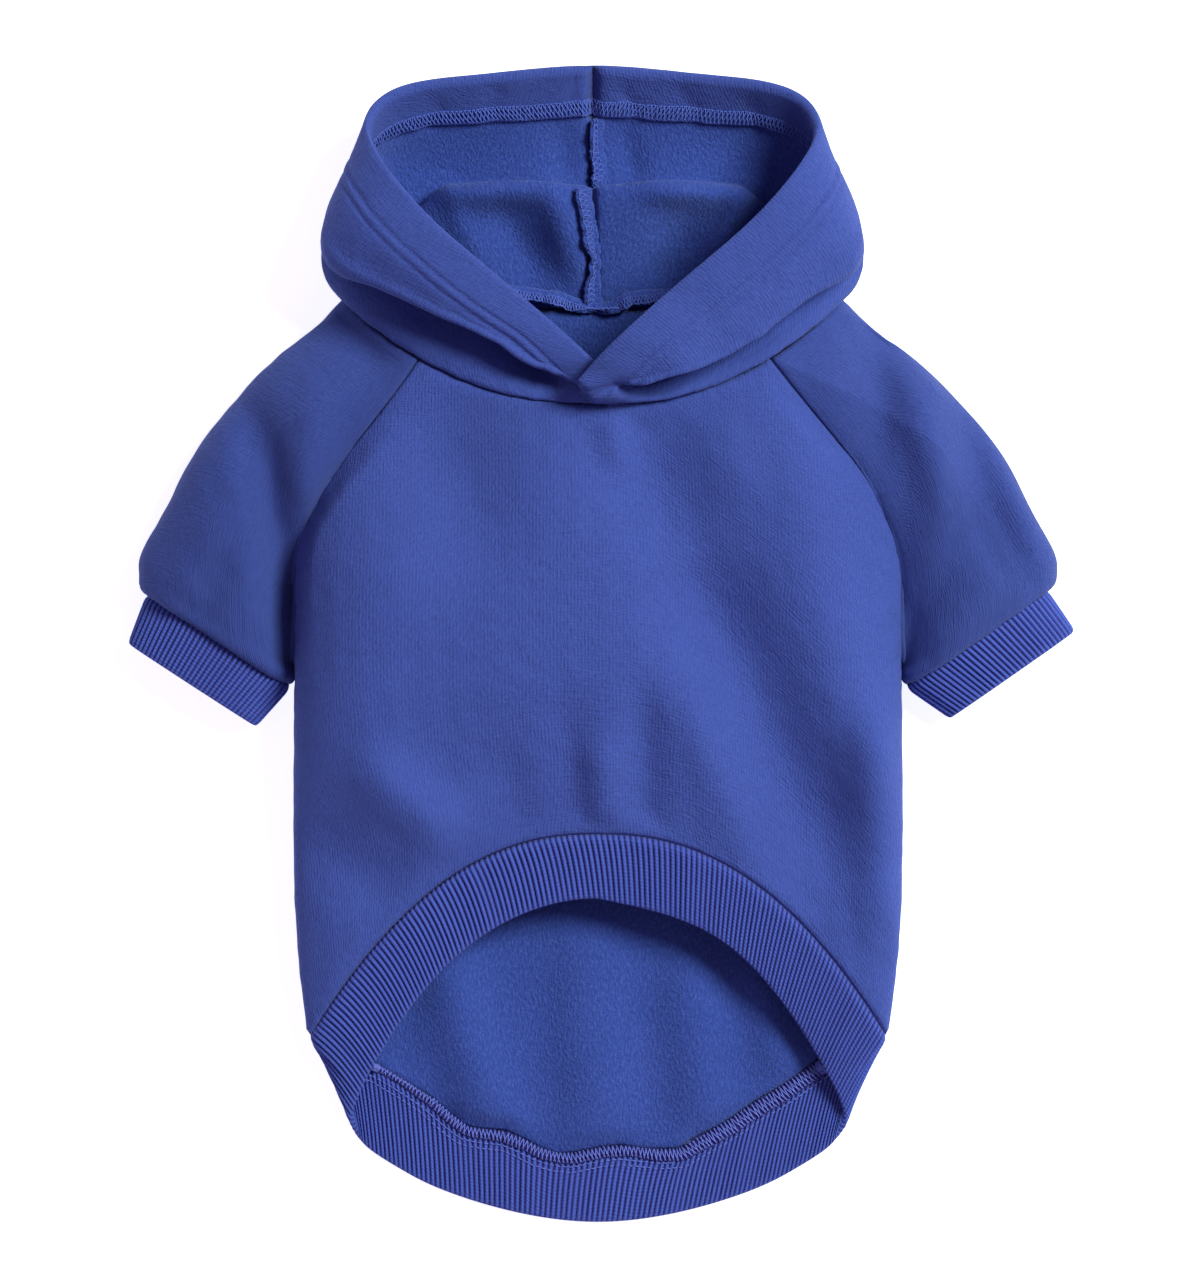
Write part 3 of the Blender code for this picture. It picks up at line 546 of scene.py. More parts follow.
def neck_side():
    """The neck seam over one shoulder, from the front corner to the back corner."""
    front, back = belly_point(1.0, 1.0), back_point(1.0, 1.0)
    share, out, along, up = np.transpose(NECK_SIDE)
    y = mix(NECK_CORNER_Y, NECK_SIDE_Y, along)
    places = placed(out * NECK_WIDTH / 2, y, mix(FLOOR, front[2], up))
    return spline([0, *share, 1], [front, *places, back], np.linspace(0, 1, NECK_SIDE_STEPS + 1))


def armhole():
    """One closed loop on the +X side: up the front raglan seam, over the shoulder along
    the neck, and down the back raglan seam."""
    front = [belly_point(share, 1.0) for share in RAGLAN_SHARES]
    back = [back_point(share, 1.0) for share in RAGLAN_SHARES[::-1]]
    return np.concatenate([front, neck_side()[1:-1], back[:-1]])


def round_reaches(count):
    """How far along each point of a loop is: 0 at its inner end, 1 at its outer end."""
    return (1 - np.cos(2 * math.pi * np.arange(count) / count)) / 2


def reaches_of(loop):
    """How far along each point of this loop is, by its length on either side."""
    lengths = so_far(np.concatenate([loop, loop[:1]]))
    half = len(loop) // 2
    front = lengths[:half] / lengths[half]
    back = (lengths[-1] - lengths[half:-1]) / (lengths[-1] - lengths[half])
    return np.concatenate([front, back])


def fan_section(inner, turn, reach, crown, beside, reaches):
    """A closed sleeve section from an inner end, in a direction, round by the top. The
    end beside the body has its own squareness."""
    out = 2 * reaches - 1
    under = np.arange(len(out)) > len(out) // 2
    full = np.where(under, UNDER_SQUARENESS, TOP_SQUARENESS)
    squareness = mix(full, beside, np.maximum(0, -out))
    bulge = (1 - np.abs(out) ** squareness) ** (1 / squareness)
    up = mix(SLEEVE_MID_HEIGHT, np.where(under, FLOOR - PRESSED, crown), bulge)
    x, y = (inner + direction(turn) * reach * reaches[:, None]).T
    return placed(x, y, np.maximum(up, FLOOR))


def cuff_seam(side, count):
    """The closed seam between this sleeve and its cuff, drawn on the +X side."""
    beside_body = CHEST_WIDTH / 2 + FLEECE / 2 + CUFF_CLEARANCE + RIB / 2
    inner = np.array([beside_body, ARMPIT_Y - UNDERARM])
    reaches = round_reaches(count)
    return fan_section(inner, CUFF_TURN[side], CUFF_WIDTH, CUFF_LOFT, CUFF_SQUARENESS, reaches)


def sleeve_grid(side):
    """A sleeve, drawn on the +X side: a row for each loop from armhole to cuff seam."""
    first = armhole()
    last = cuff_seam(side, len(first))
    loops = [first]
    for share, degrees, reach, crown in SLEEVE_FAN:
        away = math.sqrt(1 - (1 - share) ** 2)
        loop = fan_section(
            mix(first[0, :2], last[0, :2], np.array([away, share**1.3])),
            math.radians(degrees),
            reach * SLEEVE_REACH,
            crown * SLEEVE_LOFT,
            mix(BESIDE_BODY_SQUARENESS, CUFF_SQUARENESS, share),
            mix(reaches_of(first), round_reaches(len(first)), share),
        )
        loop[:, 2] = mix(first[:, 2], loop[:, 2], smooth(share / BODY_HOLD))
        loops.append(loop)
    knots = [0, *(row[0] for row in SLEEVE_FAN), 1]
    return spline(knots, [*loops, last], np.linspace(0, 1, SLEEVE_ROWS + 1))


def rib_rows(seam, edge):
    """The rib's rows, from its seam to its free edge."""
    grid = np.array([mix(seam, edge, s) for s in np.linspace(0, 1, RIB_ROWS + 1)])
    return kept_above(grid, RIB / 2)


def cuff_grid(side):
    """A cuff, drawn on the +X side, from its seam to its free edge."""
    seam = cuff_seam(side, len(armhole()))
    turn = CUFF_TURN[side]
    narrowing = direction(turn) * (CUFF_WIDTH - CUFF_END_WIDTH) / 2
    inner = seam[0, :2] + direction(CUFF_LEAN[side]) * CUFF_HEIGHT + narrowing
    reaches = round_reaches(len(seam))
    end = fan_section(inner, turn, CUFF_END_WIDTH, CUFF_END_LOFT, CUFF_SQUARENESS, reaches)
    return rib_rows(seam, end)


def band_grid(belly, back):
    """The hem band, from its seam along the panels' hems to its free edge."""
    seam = np.concatenate([belly[0], back[0, ::-1][1:-1]])
    knots, out, along, up = np.transpose(BAND_EDGE)
    y = mix(BELLY_HEM_Y, -OVERALL_LENGTH / 2, along)
    places = placed(out * CHEST_WIDTH / 2, y, np.maximum(up * CHEST_LOFT, RIB / 2))
    loop = np.concatenate([places, places[-2::-1] * MIRROR, places[1:2]])
    knots = np.concatenate([knots, 2 - knots[-2::-1], [2 + knots[1]]])
    half = BELLY_STEPS + BACK_STEPS
    at = (np.arange(2 * half) - BELLY_STEPS) / half
    return rib_rows(seam, spline(knots, loop, at % 2))


def neck_curve():
    """Half the neck seam on the +X side: the share of its length at each point, and the points."""
    front = [belly_point(1.0, a) for a in np.linspace(0, 1, BELLY_STEPS + 1)]
    back = [back_point(1.0, a) for a in np.linspace(1, 0, BACK_STEPS + 1)]
    points = np.concatenate([front[:-1], neck_side()[:-1], back])
    lengths = so_far(points)
    return lengths / lengths[-1], points


def hood_neck(at):
    """Points of the neck seam at these shares, which may pass the middle of the front."""
    shares, points = neck_curve()
    before, after = points[3:0:-1] * MIRROR, points[-2:-5:-1] * MIRROR
    knots = np.concatenate([-shares[3:0:-1], shares, 2 - shares[-2:-5:-1]])
    return spline(knots, np.concatenate([before, points, after]), at)


def hood_grid(laps_over):
    """Half the hood on the +X side, a row for each ring from the neck seam to the rim.
    The half that laps over has its throat lifted, to lie over the other half."""
    around, neck = np.array(STATION_AROUND), np.array(STATION_NECK)
    rings = [hood_neck(neck)]
    for out, along, up in np.array(list(HOOD_RINGS.values())):
        y = mix(BACK_NECK_Y, CROWN_Y, along)
        rings.append(placed(out * HOOD_WIDTH / 2, y, np.maximum(up * HOOD_LOFT, FLOOR)))
    rings = np.array(rings)
    whole = np.concatenate([rings, rings[:, -2::-1] * MIRROR], axis=1)
    knots = np.concatenate([around, 2 - around[-2::-1]])
    at = np.concatenate([neck[:1], neck_curve()[0]])
    steps = np.interp(at, neck, around)
    guides = spline(knots, whole.transpose(1, 0, 2), steps)
    guides[:, 0] = hood_neck(at)
    if laps_over:
        guides[:, 0, 2] += THROAT_LAP_AT_NECK * ramp(steps, 0.09, 0.03)
        guides[:, 1:, 2] += THROAT_LAP * ramp(steps, 0.24, 0.08)[:, None]
    lines = []
    for guide in guides:
        lengths = so_far(guide, 0.7)
        lines.append(spline(lengths / lengths[-1], guide, np.linspace(0, 1, HOOD_ROWS + 1)))
    return kept_above(np.array(lines).transpose(1, 0, 2), FLOOR)


def leaned(grid):
    """The hood's end of the hoodie lies a little to one side."""
    grid = np.array(grid)
    grid[..., 0] += HOOD_LEAN * ramp(grid[..., 1], LEAN_START_Y, LEAN_START_Y + LEAN_RUN)
    return grid


def normals_of(grid, closed):
    """The upward or outward normal of each point of a grid; closed rows are loops."""
    if closed:
        wrapped = np.concatenate([grid[:, -1:], grid, grid[:, :1]], axis=1)
        along_row = np.gradient(wrapped, axis=1)[:, 1:-1]
    else:
        along_row = np.gradient(grid, axis=1)
    return unit(np.cross(along_row, np.gradient(grid, axis=0)))


def ripple(points, scale, seed, count=14):
    """Smooth noise of about this scale at each point, between -1 and 1 for the most part."""
    draw = np.random.default_rng(seed)
    ways = unit(draw.normal(size=(count, points.shape[-1])))
    rates = draw.uniform(0.55, 1.8, count) * 2 * math.pi / scale
    phases = draw.uniform(0, 2 * math.pi, count)
    waves = (np.sin(points @ way * rate + phase) for way, rate, phase in zip(ways, rates, phases))
    return sum(waves) / math.sqrt(count)


def at_pixel(px, py):
    """The place in the frame that the photo shows at this pixel."""
    return (px - ORIGIN_PIXEL[0]) * SCALE, (ORIGIN_PIXEL[1] - py) * SCALE


def to_pixel(points):
    """The photo's pixel that shows each of these points."""
    return ORIGIN_PIXEL[0] + points[..., 0] / SCALE, ORIGIN_PIXEL[1] - points[..., 1] / SCALE


def arc(grid, axis):
    """Length along the grid's lines from their start."""
    steps = np.linalg.norm(np.diff(grid, axis=axis), axis=2)
    start = np.zeros_like(np.take(steps, [0], axis=axis))
    return np.concatenate([start, np.cumsum(steps, axis=axis)], axis=axis)


def to_edges(grid, seams):
    """How far each point is from each of the named edges, along the grid's lines."""
    rows, cols = arc(grid, 0), arc(grid, 1)
    far = dict(zip(EDGES, (rows, rows[-1:] - rows, cols, cols[:, -1:] - cols)))
    return [far[name] for name in seams]


def near_edges(grid, seams, reach):
    """0 at the named edges and 1 from the reach on."""
    return ramp(np.minimum.reduce(to_edges(grid, seams)), 0, reach)


def folded(grid, table, weight):
    """Lifts or sinks a grid along soft folds, each a line with a width and a height."""
    grid = np.array(grid)
    rise = np.zeros(grid.shape[:2])
    for x0, y0, x1, y1, width, height, soft, bow in (Fold(*row) for row in table):
        start = np.array(at_pixel(x0, y0))
        way = at_pixel(x1, y1) - start
        length = math.hypot(*way)
        way /= length
        off = grid[..., :2] - start
        along = off @ way / length
        across = off @ np.array([-way[1], way[0]]) - bow * length * (1 - (2 * along - 1) ** 2)
        ends = ramp(along, -soft / 2, soft / 2) * ramp(along, 1 + soft / 2, 1 - soft / 2)
        rise += height * bell(across, 0, width) * ends
    grid[..., 2] += rise * weight
    return grid


def rolled(distance, radius):
    """A rounded edge: 0 at the edge and 1 from the radius on."""
    share = np.clip(1 - distance / radius, 0, 1)
    return np.sqrt(np.maximum(1 - share**2, 0))


def dipped(distance, reach=SEAM_DIP):
    """How full the cloth is near a seam, where its face rolls down into it."""
    return 1 - np.exp(-((distance / reach) ** 1.3))


def lengthened(grid, reach, shares):
    """A grid whose last row gives way to rows a little beyond it, for a rounded edge."""
    end = unit(grid[-1] - grid[-2]) * reach
    return np.concatenate([grid[:-1], *(grid[-1:] + end * share for share in shares)])


def new_piece(name, data, materials):
    """An object for a mesh, on the model's one body."""
    for material in materials:
        data.materials.append(material)
    piece = bpy.data.objects.new(name, data)
    bpy.context.scene.collection.objects.link(piece)
    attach(piece, "root")
    return piece


def cells(array, used, after):
    """The four corners of each cell of a grid."""
    four = array[:-1, used], array[:-1, after], array[1:, after], array[1:, used]
    return np.stack(four, axis=2).reshape(-1, 4, *array.shape[2:])


def cloth_mesh(name, grid, outer, inner, uv, closed, flip, materials, ridge=None, facing=None):
    """A closed piece of cloth: an outer and an inner face that share their edges. Corners
    carry the cloth's own lengths as UV. `ridge` is kept as a point attribute, and where
    `facing` holds, the inner face has the outer one's material."""
    rows, count = grid.shape[:2]
    normals = normals_of(grid, closed) * (-1 if flip else 1)
    top = grid + normals * outer[..., None]
    under = grid - normals * inner[..., None]
    within = np.ones((rows, count), bool)
    within[[0, -1]] = False
    if not closed:
        within[:, [0, -1]] = False
    index_top = np.arange(rows * count).reshape(rows, count)
    index_under = index_top.copy()
    index_under[within] = rows * count + np.arange(within.sum())
    points = kept_above(np.concatenate([top.reshape(-1, 3), under[within]]), LOWEST)
    used = np.arange(count if closed else count - 1)
    u, v = uv
    if closed:
        u = np.concatenate([u, u[:, :1] + u[:, -1:] * count / (count - 1)], axis=1)
        v = np.concatenate([v, v[:, :1]], axis=1)

    def both_faces(of_top, of_under, after):
        one, two = cells(of_top, used, after), cells(of_under, used, after)
        return np.concatenate([one[:, ::-1], two] if flip else [one, two[:, ::-1]])

    faces = both_faces(index_top, index_under, (used + 1) % count)
    uvs = both_faces(placed(u, v), placed(u, v), used + 1)
    slots = np.zeros((2, rows - 1, len(used)), np.int32)
    slots[1] = 1 if facing is None else ~(facing[:-1, used] & facing[1:, used])
    data = bpy.data.meshes.new(name)
    data.vertices.add(len(points))
    data.vertices.foreach_set("co", points.astype(np.float32).ravel())
    data.loops.add(faces.size)
    data.polygons.add(len(faces))
    data.loops.foreach_set("vertex_index", faces.astype(np.int32).ravel())
    data.polygons.foreach_set("loop_start", np.arange(0, faces.size, 4, dtype=np.int32))
    data.polygons.foreach_set("material_index", slots.ravel())
    data.polygons.foreach_set("use_smooth", np.ones(len(faces), bool))
    data.uv_layers.new(name="cloth").data.foreach_set("uv", uvs.astype(np.float32).ravel())
    if ridge is not None:
        values = np.concatenate([ridge.reshape(-1), ridge[within]]).astype(np.float32)
        data.attributes.new("ridge", "FLOAT", "POINT").data.foreach_set("value", values)
    piece = new_piece(name, data, materials)
    data.update()
    data.validate()
    return piece, top, under


class Look:
    """A cloth material, built up from layers of noise over the cloth's own lengths."""

    # The width of a lit band in a band texture of scale 1
    BAND_WIDTH = 0.234

    def __init__(self, name, roughness, sheen, sheen_tint):
        self.material = bpy.data.materials.new(name)
        self.material.use_nodes = True
        self.shader = self.material.node_tree.nodes["Principled BSDF"]
        self.fill(self.shader, {"Roughness": roughness, "Specular IOR Level": 0.15})
        self.fill(self.shader, {"Sheen Weight": sheen, "Sheen Roughness": 0.55})
        self.fill(self.shader, {"Sheen Tint": sheen_tint})
        self.lengths = self.node("UVMap", uv_map="cloth")[0]
        self.place = self.node("TexCoord")["Object"]

    def fill(self, node, inputs):
        """Gives a node's inputs their values or their links."""
        for key, value in inputs.items():
            if isinstance(value, bpy.types.NodeSocket):
                self.material.node_tree.links.new(value, node.inputs[key])
            else:
                node.inputs[key].default_value = value

    def node(self, kind, inputs=None, **settings):
        """The outputs of a new node."""
        node = self.material.node_tree.nodes.new("ShaderNode" + kind)
        for key, value in settings.items():
            setattr(node, key, value)
        self.fill(node, inputs or {})
        return node.outputs

    def stretched(self, along_u, along_v, turn=0.0):
        """The cloth's own lengths, scaled along each direction and turned."""
        scale = {"Rotation": (0, 0, turn), "Scale": (along_u, along_v, 1)}
        return self.node("Mapping", {0: self.lengths, **scale})[0]

    def noise(self, scale, detail=2.0, where=None, rough=0.55):
        where = self.place if where is None else where
        inputs = {0: where, "Scale": scale, "Detail": detail, "Roughness": rough}
        return self.node("TexNoise", inputs)[0]

    def bands(self, width, distortion, detail_scale, way="X"):
        inputs = {0: self.stretched(1, 1), "Scale": self.BAND_WIDTH / width, "Detail": 1.0}
        inputs.update({"Distortion": distortion, "Detail Scale": detail_scale})
        return self.node("TexWave", inputs, wave_type="BANDS", bands_direction=way)[1]

    def add(self, a, b):
        return self.node("Math", {0: a, 1: b}, operation="ADD")[0]

    def times(self, a, b):
        return self.node("Math", {0: a, 1: b}, operation="MULTIPLY")[0]

    def layer(self, base, value, low, high, at_low, at_high, colour):
        """A colour over the base, by a value: its share at the low and the high value."""
        share = self.node("MapRange", {0: value, 1: low, 2: high, 3: at_low, 4: at_high})[0]
        return self.node("Mix", {0: share, 6: base, 7: colour}, data_type="RGBA")[2]

    def finish(self, base, height, distance, strength):
        bump = {"Height": height, "Distance": distance, "Strength": strength}
        self.fill(self.shader, {"Base Color": base, "Normal": self.node("Bump", bump)[0]})
        return self.material


def brushed_knit(name, shade):
    """The smooth outside: fine knit columns under a short brushed nap.
    The shade darkens all its colours as painted shade, for pieces that should look less lit."""

    # The knit's blue, darkened by the painted shade
    def dye_in_painted_shade(red, green, blue):
        return (red * shade, green * shade, blue * shade, 1)

    look = Look(name, 0.92, 0.13, (0.45, 0.56, 1.0, 1.0))
    wales = look.bands(0.00105, 1.4, 3.0)
    crinkles = look.noise(1.0, 3.0, look.stretched(170, 900, 0.12))
    streaks = look.noise(1.0, 3.0, look.stretched(1500, 330))
    slanted = look.noise(1.0, 2.0, look.stretched(900, 260, 0.5))
    fine = look.times(look.add(streaks, look.noise(1900)), 0.5)
    base = dye_in_painted_shade(0.045, 0.076, 0.330)
    base = look.layer(base, look.noise(14, 3.0), 0.3, 0.7, 0.0, 1.0, dye_in_painted_shade(0.050, 0.087, 0.362))
    base = look.layer(base, look.noise(110, 3.0), 0.3, 0.75, 0.0, 0.35, dye_in_painted_shade(0.038, 0.066, 0.295))
    base = look.layer(base, fine, 0.42, 0.60, 0.0, 0.34, dye_in_painted_shade(0.090, 0.142, 0.490))
    base = look.layer(base, slanted, 0.25, 0.55, 0.26, 0.0, dye_in_painted_shade(0.025, 0.040, 0.225))
    base = look.layer(base, wales, 0.0, 0.5, 0.09, 0.0, dye_in_painted_shade(0.028, 0.044, 0.230))
    height = look.add(look.add(look.times(wales, 0.24), fine), look.times(crinkles, 1.6))
    return look.finish(base, look.add(height, slanted), 0.00046, 0.85)


def napped_fleece():
    """The soft inside: a raised, mottled nap that catches the light."""
    look = Look("napped_fleece", 0.97, 0.30, (0.42, 0.55, 1.0, 1.0))
    tufts = look.noise(760, 3.0, None, 0.6)
    strokes = look.noise(1.0, 3.0, look.stretched(1000, 420, -0.6))
    base = (0.034, 0.072, 0.340, 1)
    base = look.layer(base, look.noise(22, 3.0), 0.3, 0.7, 0.0, 1.0, (0.044, 0.086, 0.390, 1))
    base = look.layer(base, tufts, 0.35, 0.7, 0.45, 0.0, (0.018, 0.038, 0.215, 1))
    base = look.layer(base, strokes, 0.46, 0.70, 0.0, 0.42, (0.085, 0.155, 0.540, 1))
    height = look.add(look.add(tufts, look.times(look.noise(1900), 0.4)), strokes)
    return look.finish(base, height, 0.0009, 0.85)


def rib_knit():
    """The rib: ridges painted lighter as if lit, grooves painted dark as shade, and small knit
    stitches along each ridge.
    """
    look = Look("rib_knit", 0.9, 0.10, (0.5, 0.6, 1.0, 1.0))
    ridge = look.node("Attribute", attribute_name="ridge")["Fac"]
    grain = look.noise(2100)
    # The grooves' near-black violet is painted shade and the ridges' lighter blue is painted light,
    # both set by the ridge profile
    base = (0.018, 0.006, 0.115, 1)
    base = look.layer(base, ridge, 0.15, 0.85, 0.0, 1.0, (0.070, 0.122, 0.500, 1))
    base = look.layer(base, look.noise(24), 0.35, 0.7, 0.0, 0.25, (0.042, 0.054, 0.300, 1))
    base = look.layer(base, grain, 0.45, 0.7, 0.0, 0.30, (0.100, 0.165, 0.560, 1))
    height = look.add(look.times(look.bands(0.0011, 1.2, 2.5, "Y"), 0.6), grain)
    return look.finish(base, height, 0.00030, 0.8)


def thread(name, colour):
    """Spun sewing thread."""
    look = Look(name, 0.8, 0.10, (0.6, 0.7, 1.0, 1.0))
    grain = look.noise(3000)
    dark = tuple(c * 0.55 for c in colour[:3]) + (1,)
    return look.finish(look.layer(colour, grain, 0.35, 0.6, 0.7, 0.0, dark), grain, 0.0002, 0.6)


# The sleeves' and the hood's copies of the knit are darker by painted shade, for pieces that should
# look turned from the light
KNIT = brushed_knit("brushed_knit", 1.0)
SHADED_SLEEVE_KNIT = brushed_knit("sleeve_knit_painted_shade", 0.80)
SHADED_HOOD_KNIT = brushed_knit("hood_knit_painted_shade", 0.92)
FLEECE_LOOK = napped_fleece()
RIB_LOOK = rib_knit()
THREAD = thread("overlock_thread", (0.115, 0.180, 0.640, 1))
HEM_THREAD = thread("hem_thread", (0.175, 0.235, 0.760, 1))
SEAM_THREAD = thread("topstitch_thread", (0.075, 0.115, 0.430, 1))


def knit_offsets(grid, seams, seed):
    """Half the cloth's thickness at each point, dipping into its seams, and how far it
    puckers beside them and waves elsewhere."""
    far = to_edges(grid, seams)
    full = np.prod([dipped(distance) for distance in far], axis=0)
    near = np.minimum(sum(bell(distance, 0, PUCKER_LENGTH) for distance in far), 1)
    pucker = PUCKER_HEIGHT * ripple(grid, PUCKER_LENGTH, seed) * near
    soft = WAVE_HEIGHT * ripple(grid, WAVE_LENGTH, seed + 1)
    return FLEECE / 2 * full, (pucker + soft) * full


def uv_of(grid):
    """The cloth's own lengths, across and along, from its middle."""
    u = arc(grid, 1)
    middle = u.shape[1] // 2
    return u - u[:, middle : middle + 1], arc(grid, 0)


def panel(name, grid, node, seams, flip, closed, seed):
    """One fleece-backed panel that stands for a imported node, and its grid."""
    half, pucker = knit_offsets(grid, seams, seed)
    # The sleeves take the knit's darker copy: painted shade
    looks = [SHADED_SLEEVE_KNIT if closed else KNIT, FLEECE_LOOK]
    outer, inner = half + pucker, half + pucker * 0.3
    piece = cloth_mesh(name, grid, outer, inner, uv_of(grid), closed, flip, looks)[0]
    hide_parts(node)
    return piece, grid


def resampled(line, places):
    """Points of a polyline at these shares of its length."""
    lengths = so_far(line)
    return placed(*(np.interp(places, lengths / lengths[-1], column) for column in line.T))


def ribbed(name, loops, node, flip, ribs, nudge=None):
    """A tube of rib knit between a seam loop and its folded free edge, and its grid."""
    places = np.arange(ribs * RIB_FACETS) / (ribs * RIB_FACETS)
    grid = np.array([resampled(np.concatenate([loop, loop[:1]]), places) for loop in loops])
    if nudge is not None:
        grid = nudge(grid)
    grid = lengthened(grid, RIB / 2, (0.35, 0.75, 1))
    rows = arc(grid, 0)
    to_free = rows[-1:] - rows
    wander = 0.18 * np.sin(rows / 0.007 + places * 40) * ramp(rows, 0, 0.01)
    t = (places * ribs + 0.05 * wander) % 1.0 - 0.5
    # The ridge profile shapes the grooves, and in the rib's material it also sets the painted shade
    # and light
    ridge = 1 - np.abs(2 * t) ** 1.8
    full = dipped(rows, 0.0014) * rolled(to_free, RIB * 0.7)
    depth = RIB_GROOVE * ramp(rows, 0, 0.002) * mix(0.35, 1, ramp(to_free, 0, 0.002))
    uneven = 1 + 0.10 * ripple(placed(places * ribs * 0.9, 0.0), 3.0, 5)
    half = (RIB / 2 * full - depth * (1 - ridge) * full) * uneven
    u = np.broadcast_to(places * ribs * RIB_PITCH, rows.shape)
    looks = [RIB_LOOK, RIB_LOOK]
    piece = cloth_mesh(name, grid, half, half, (u, rows), True, flip, looks, ridge)[0]
    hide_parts(node)
    return piece, grid


def tubes(name, paths, ups, radius, material, sides):
    """Thread strands as one mesh. Paths are all of the same number of points."""
    strands, count = paths.shape[:2]
    along = unit(np.gradient(paths, axis=1))
    side = unit(np.cross(along, ups))
    lift = np.cross(side, along)
    turns = (np.arange(sides) * 2 * math.pi / sides)[:, None]
    taper = np.minimum(1, 0.35 + 0.65 * np.sin(np.linspace(0, math.pi, count)) * 3)
    ring = side[:, :, None] * np.cos(turns) + lift[:, :, None] * np.sin(turns)
    points = paths[:, :, None] + ring * radius * taper[:, None, None]
    index = np.arange(strands * count * sides).reshape(strands, count, sides)
    after = np.roll(index, -1, axis=2)
    faces = np.stack([index[:, :-1], after[:, :-1], after[:, 1:], index[:, 1:]], axis=-1)
    caps = index[:, 0, ::-1].tolist() + index[:, -1].tolist()
    data = bpy.data.meshes.new(name)
    data.from_pydata(points.reshape(-1, 3).tolist(), [], faces.reshape(-1, 4).tolist() + caps)
    data.polygons.foreach_set("use_smooth", np.ones(len(data.polygons), bool))
    piece = new_piece(name, data, [material])
    return piece


class Strip:
    """A narrow band of surface beside a seam: s runs along it and a across it, 0 to 1."""

    def __init__(self, lanes, normals):
        self.lanes = np.asarray(lanes)
        self.normals = np.asarray(normals)
        self.s = so_far(self.lanes[len(lanes) // 2])
        self.length = self.s[-1]

    def place(self, s, a, lift):
        """The points at s along and a across, raised by lift, and their normals."""
        s, a, lift = np.broadcast_arrays(s, a, lift)
        row = np.clip(a, 0, 1) * (len(self.lanes) - 1)
        low = np.minimum(row.astype(int), len(self.lanes) - 2)
        share = (row - low)[..., None]
        j = np.clip(np.searchsorted(self.s, s) - 1, 0, len(self.s) - 2)
        t = ((s - self.s[j]) / np.maximum(self.s[j + 1] - self.s[j], 1e-9))[..., None]

        def at(array):
            one = mix(array[low, j], array[low, j + 1], t)
            two = mix(array[low + 1, j], array[low + 1, j + 1], t)
            return mix(one, two, share)

        normal = unit(at(self.normals))
        return at(self.lanes) + normal * lift[..., None], normal


def lanes_at(surface, normals, far, distances):
    """Lines of a surface at these distances from an edge, one place in each column."""
    both = np.concatenate([surface, normals], axis=-1)
    lanes = np.zeros((len(distances), *both.shape[1:]))
    for j, k in np.ndindex(both.shape[1:]):
        order = np.argsort(far[:, j])
        lanes[:, j, k] = np.interp(distances, far[order, j], both[order, j, k])
    return Strip(lanes[..., :3], lanes[..., 3:])


def overlock(name, strip, pitch, radius, slant, seed, material=THREAD, chains=True):
    """Overlock stitches across a strip: slanted threads, loops at the edge, a needle line."""
    draw = np.random.default_rng(seed)
    count = int(strip.length / pitch)
    start = ((np.arange(count) + 0.5) * pitch + draw.normal(0, pitch * 0.07, count))[:, None]
    across = np.linspace(0.02, 1.0, THREAD_POINTS)
    jitter = draw.normal(0, 0.16, (count, 1))
    arch = 0.0004 * np.sin(across * math.pi) * (1 + 0.3 * draw.normal(size=(count, 1)))
    lift = radius * 0.7 + arch
    slanted = (across - 0.5) * pitch
    strands = [
        (start + slanted * (slant + jitter), across, lift),
        (start + pitch * 0.5 - slanted * (0.5 + jitter), across, lift * 0.8),
    ]
    if chains:
        share = np.linspace(0, 1, THREAD_POINTS)
        loop = 0.93 + 0.07 * np.sin(share * 2 * math.pi)
        needle = radius * (0.2 + 0.9 * np.sin(share * math.pi))
        strands.append((start + mix(-0.8, 0.8, share) * pitch, loop, radius * 1.6))
        strands.append((start + mix(-0.42, 0.42, share) * pitch, 0.03, needle))
    paths, ups = zip(*(strip.place(*strand) for strand in strands))
    paths, ups = np.concatenate(paths), np.concatenate(ups)
    return tubes(name, paths, ups, radius, material, OVERLOCK_SIDES)


def running(name, strip, pitch, radius, fill, sink, material):
    """A straight line of stitches along the middle of a strip."""
    start = (np.arange(int(strip.length / pitch)) + 0.5) * pitch
    share = np.linspace(-0.5, 0.5, THREAD_POINTS)
    lift = radius * (np.cos(share * math.pi) * 1.1 - 0.2) - sink
    path, ups = strip.place(start[:, None] + share * pitch * fill, 0.5, lift)
    return tubes(name, path, ups, radius, material, STITCH_SIDES)


def lowered(grid):
    """Lets the front of the hem lie a little nearer to the back."""
    grid = np.array(grid)
    grid[..., 2] *= 1 - HEM_LOWERING * ramp(grid[..., 1], -0.012, -0.097)
    return grid


def nudged(grid, near):
    """Pushes the back hem's seam into gentle waves, and cloth near it by a share of them."""
    grid = np.array(grid)
    rise = np.interp(to_pixel(grid[:1])[0], *HEM_WAVE, left=0, right=0)
    grid[..., 1] += rise * near * ramp(grid[:1, :, 2], 0.0080, 0.0035)
    return lowered(grid)


def nudged_band(grid):
    """The band, following the back hem's seam."""
    rows = arc(grid, 0)
    return nudged(grid, (1 - rows / rows[-1:]) ** 1.4)


class Drape:
    """Finds the surface that lies under points of the view from above."""

    def __init__(self, pieces):
        points, faces = [], []
        for piece in pieces:
            start = len(points)
            points += [tuple(vertex.co) for vertex in piece.data.vertices]
            faces += [[start + k for k in face.vertices] for face in piece.data.polygons]
        self.tree = BVHTree.FromPolygons(points, faces)

    def heights(self, places, tops):
        """The height below each (x, y) place, looking down from these tops."""
        heights = np.zeros(places.shape[:-1])
        for index in np.ndindex(heights.shape):
            start = Vector((*places[index], tops[index]))
            hit = self.tree.ray_cast(start, Vector((0, 0, -1)))[0]
            heights[index] = hit.z if hit is not None else FLOOR
        return heights


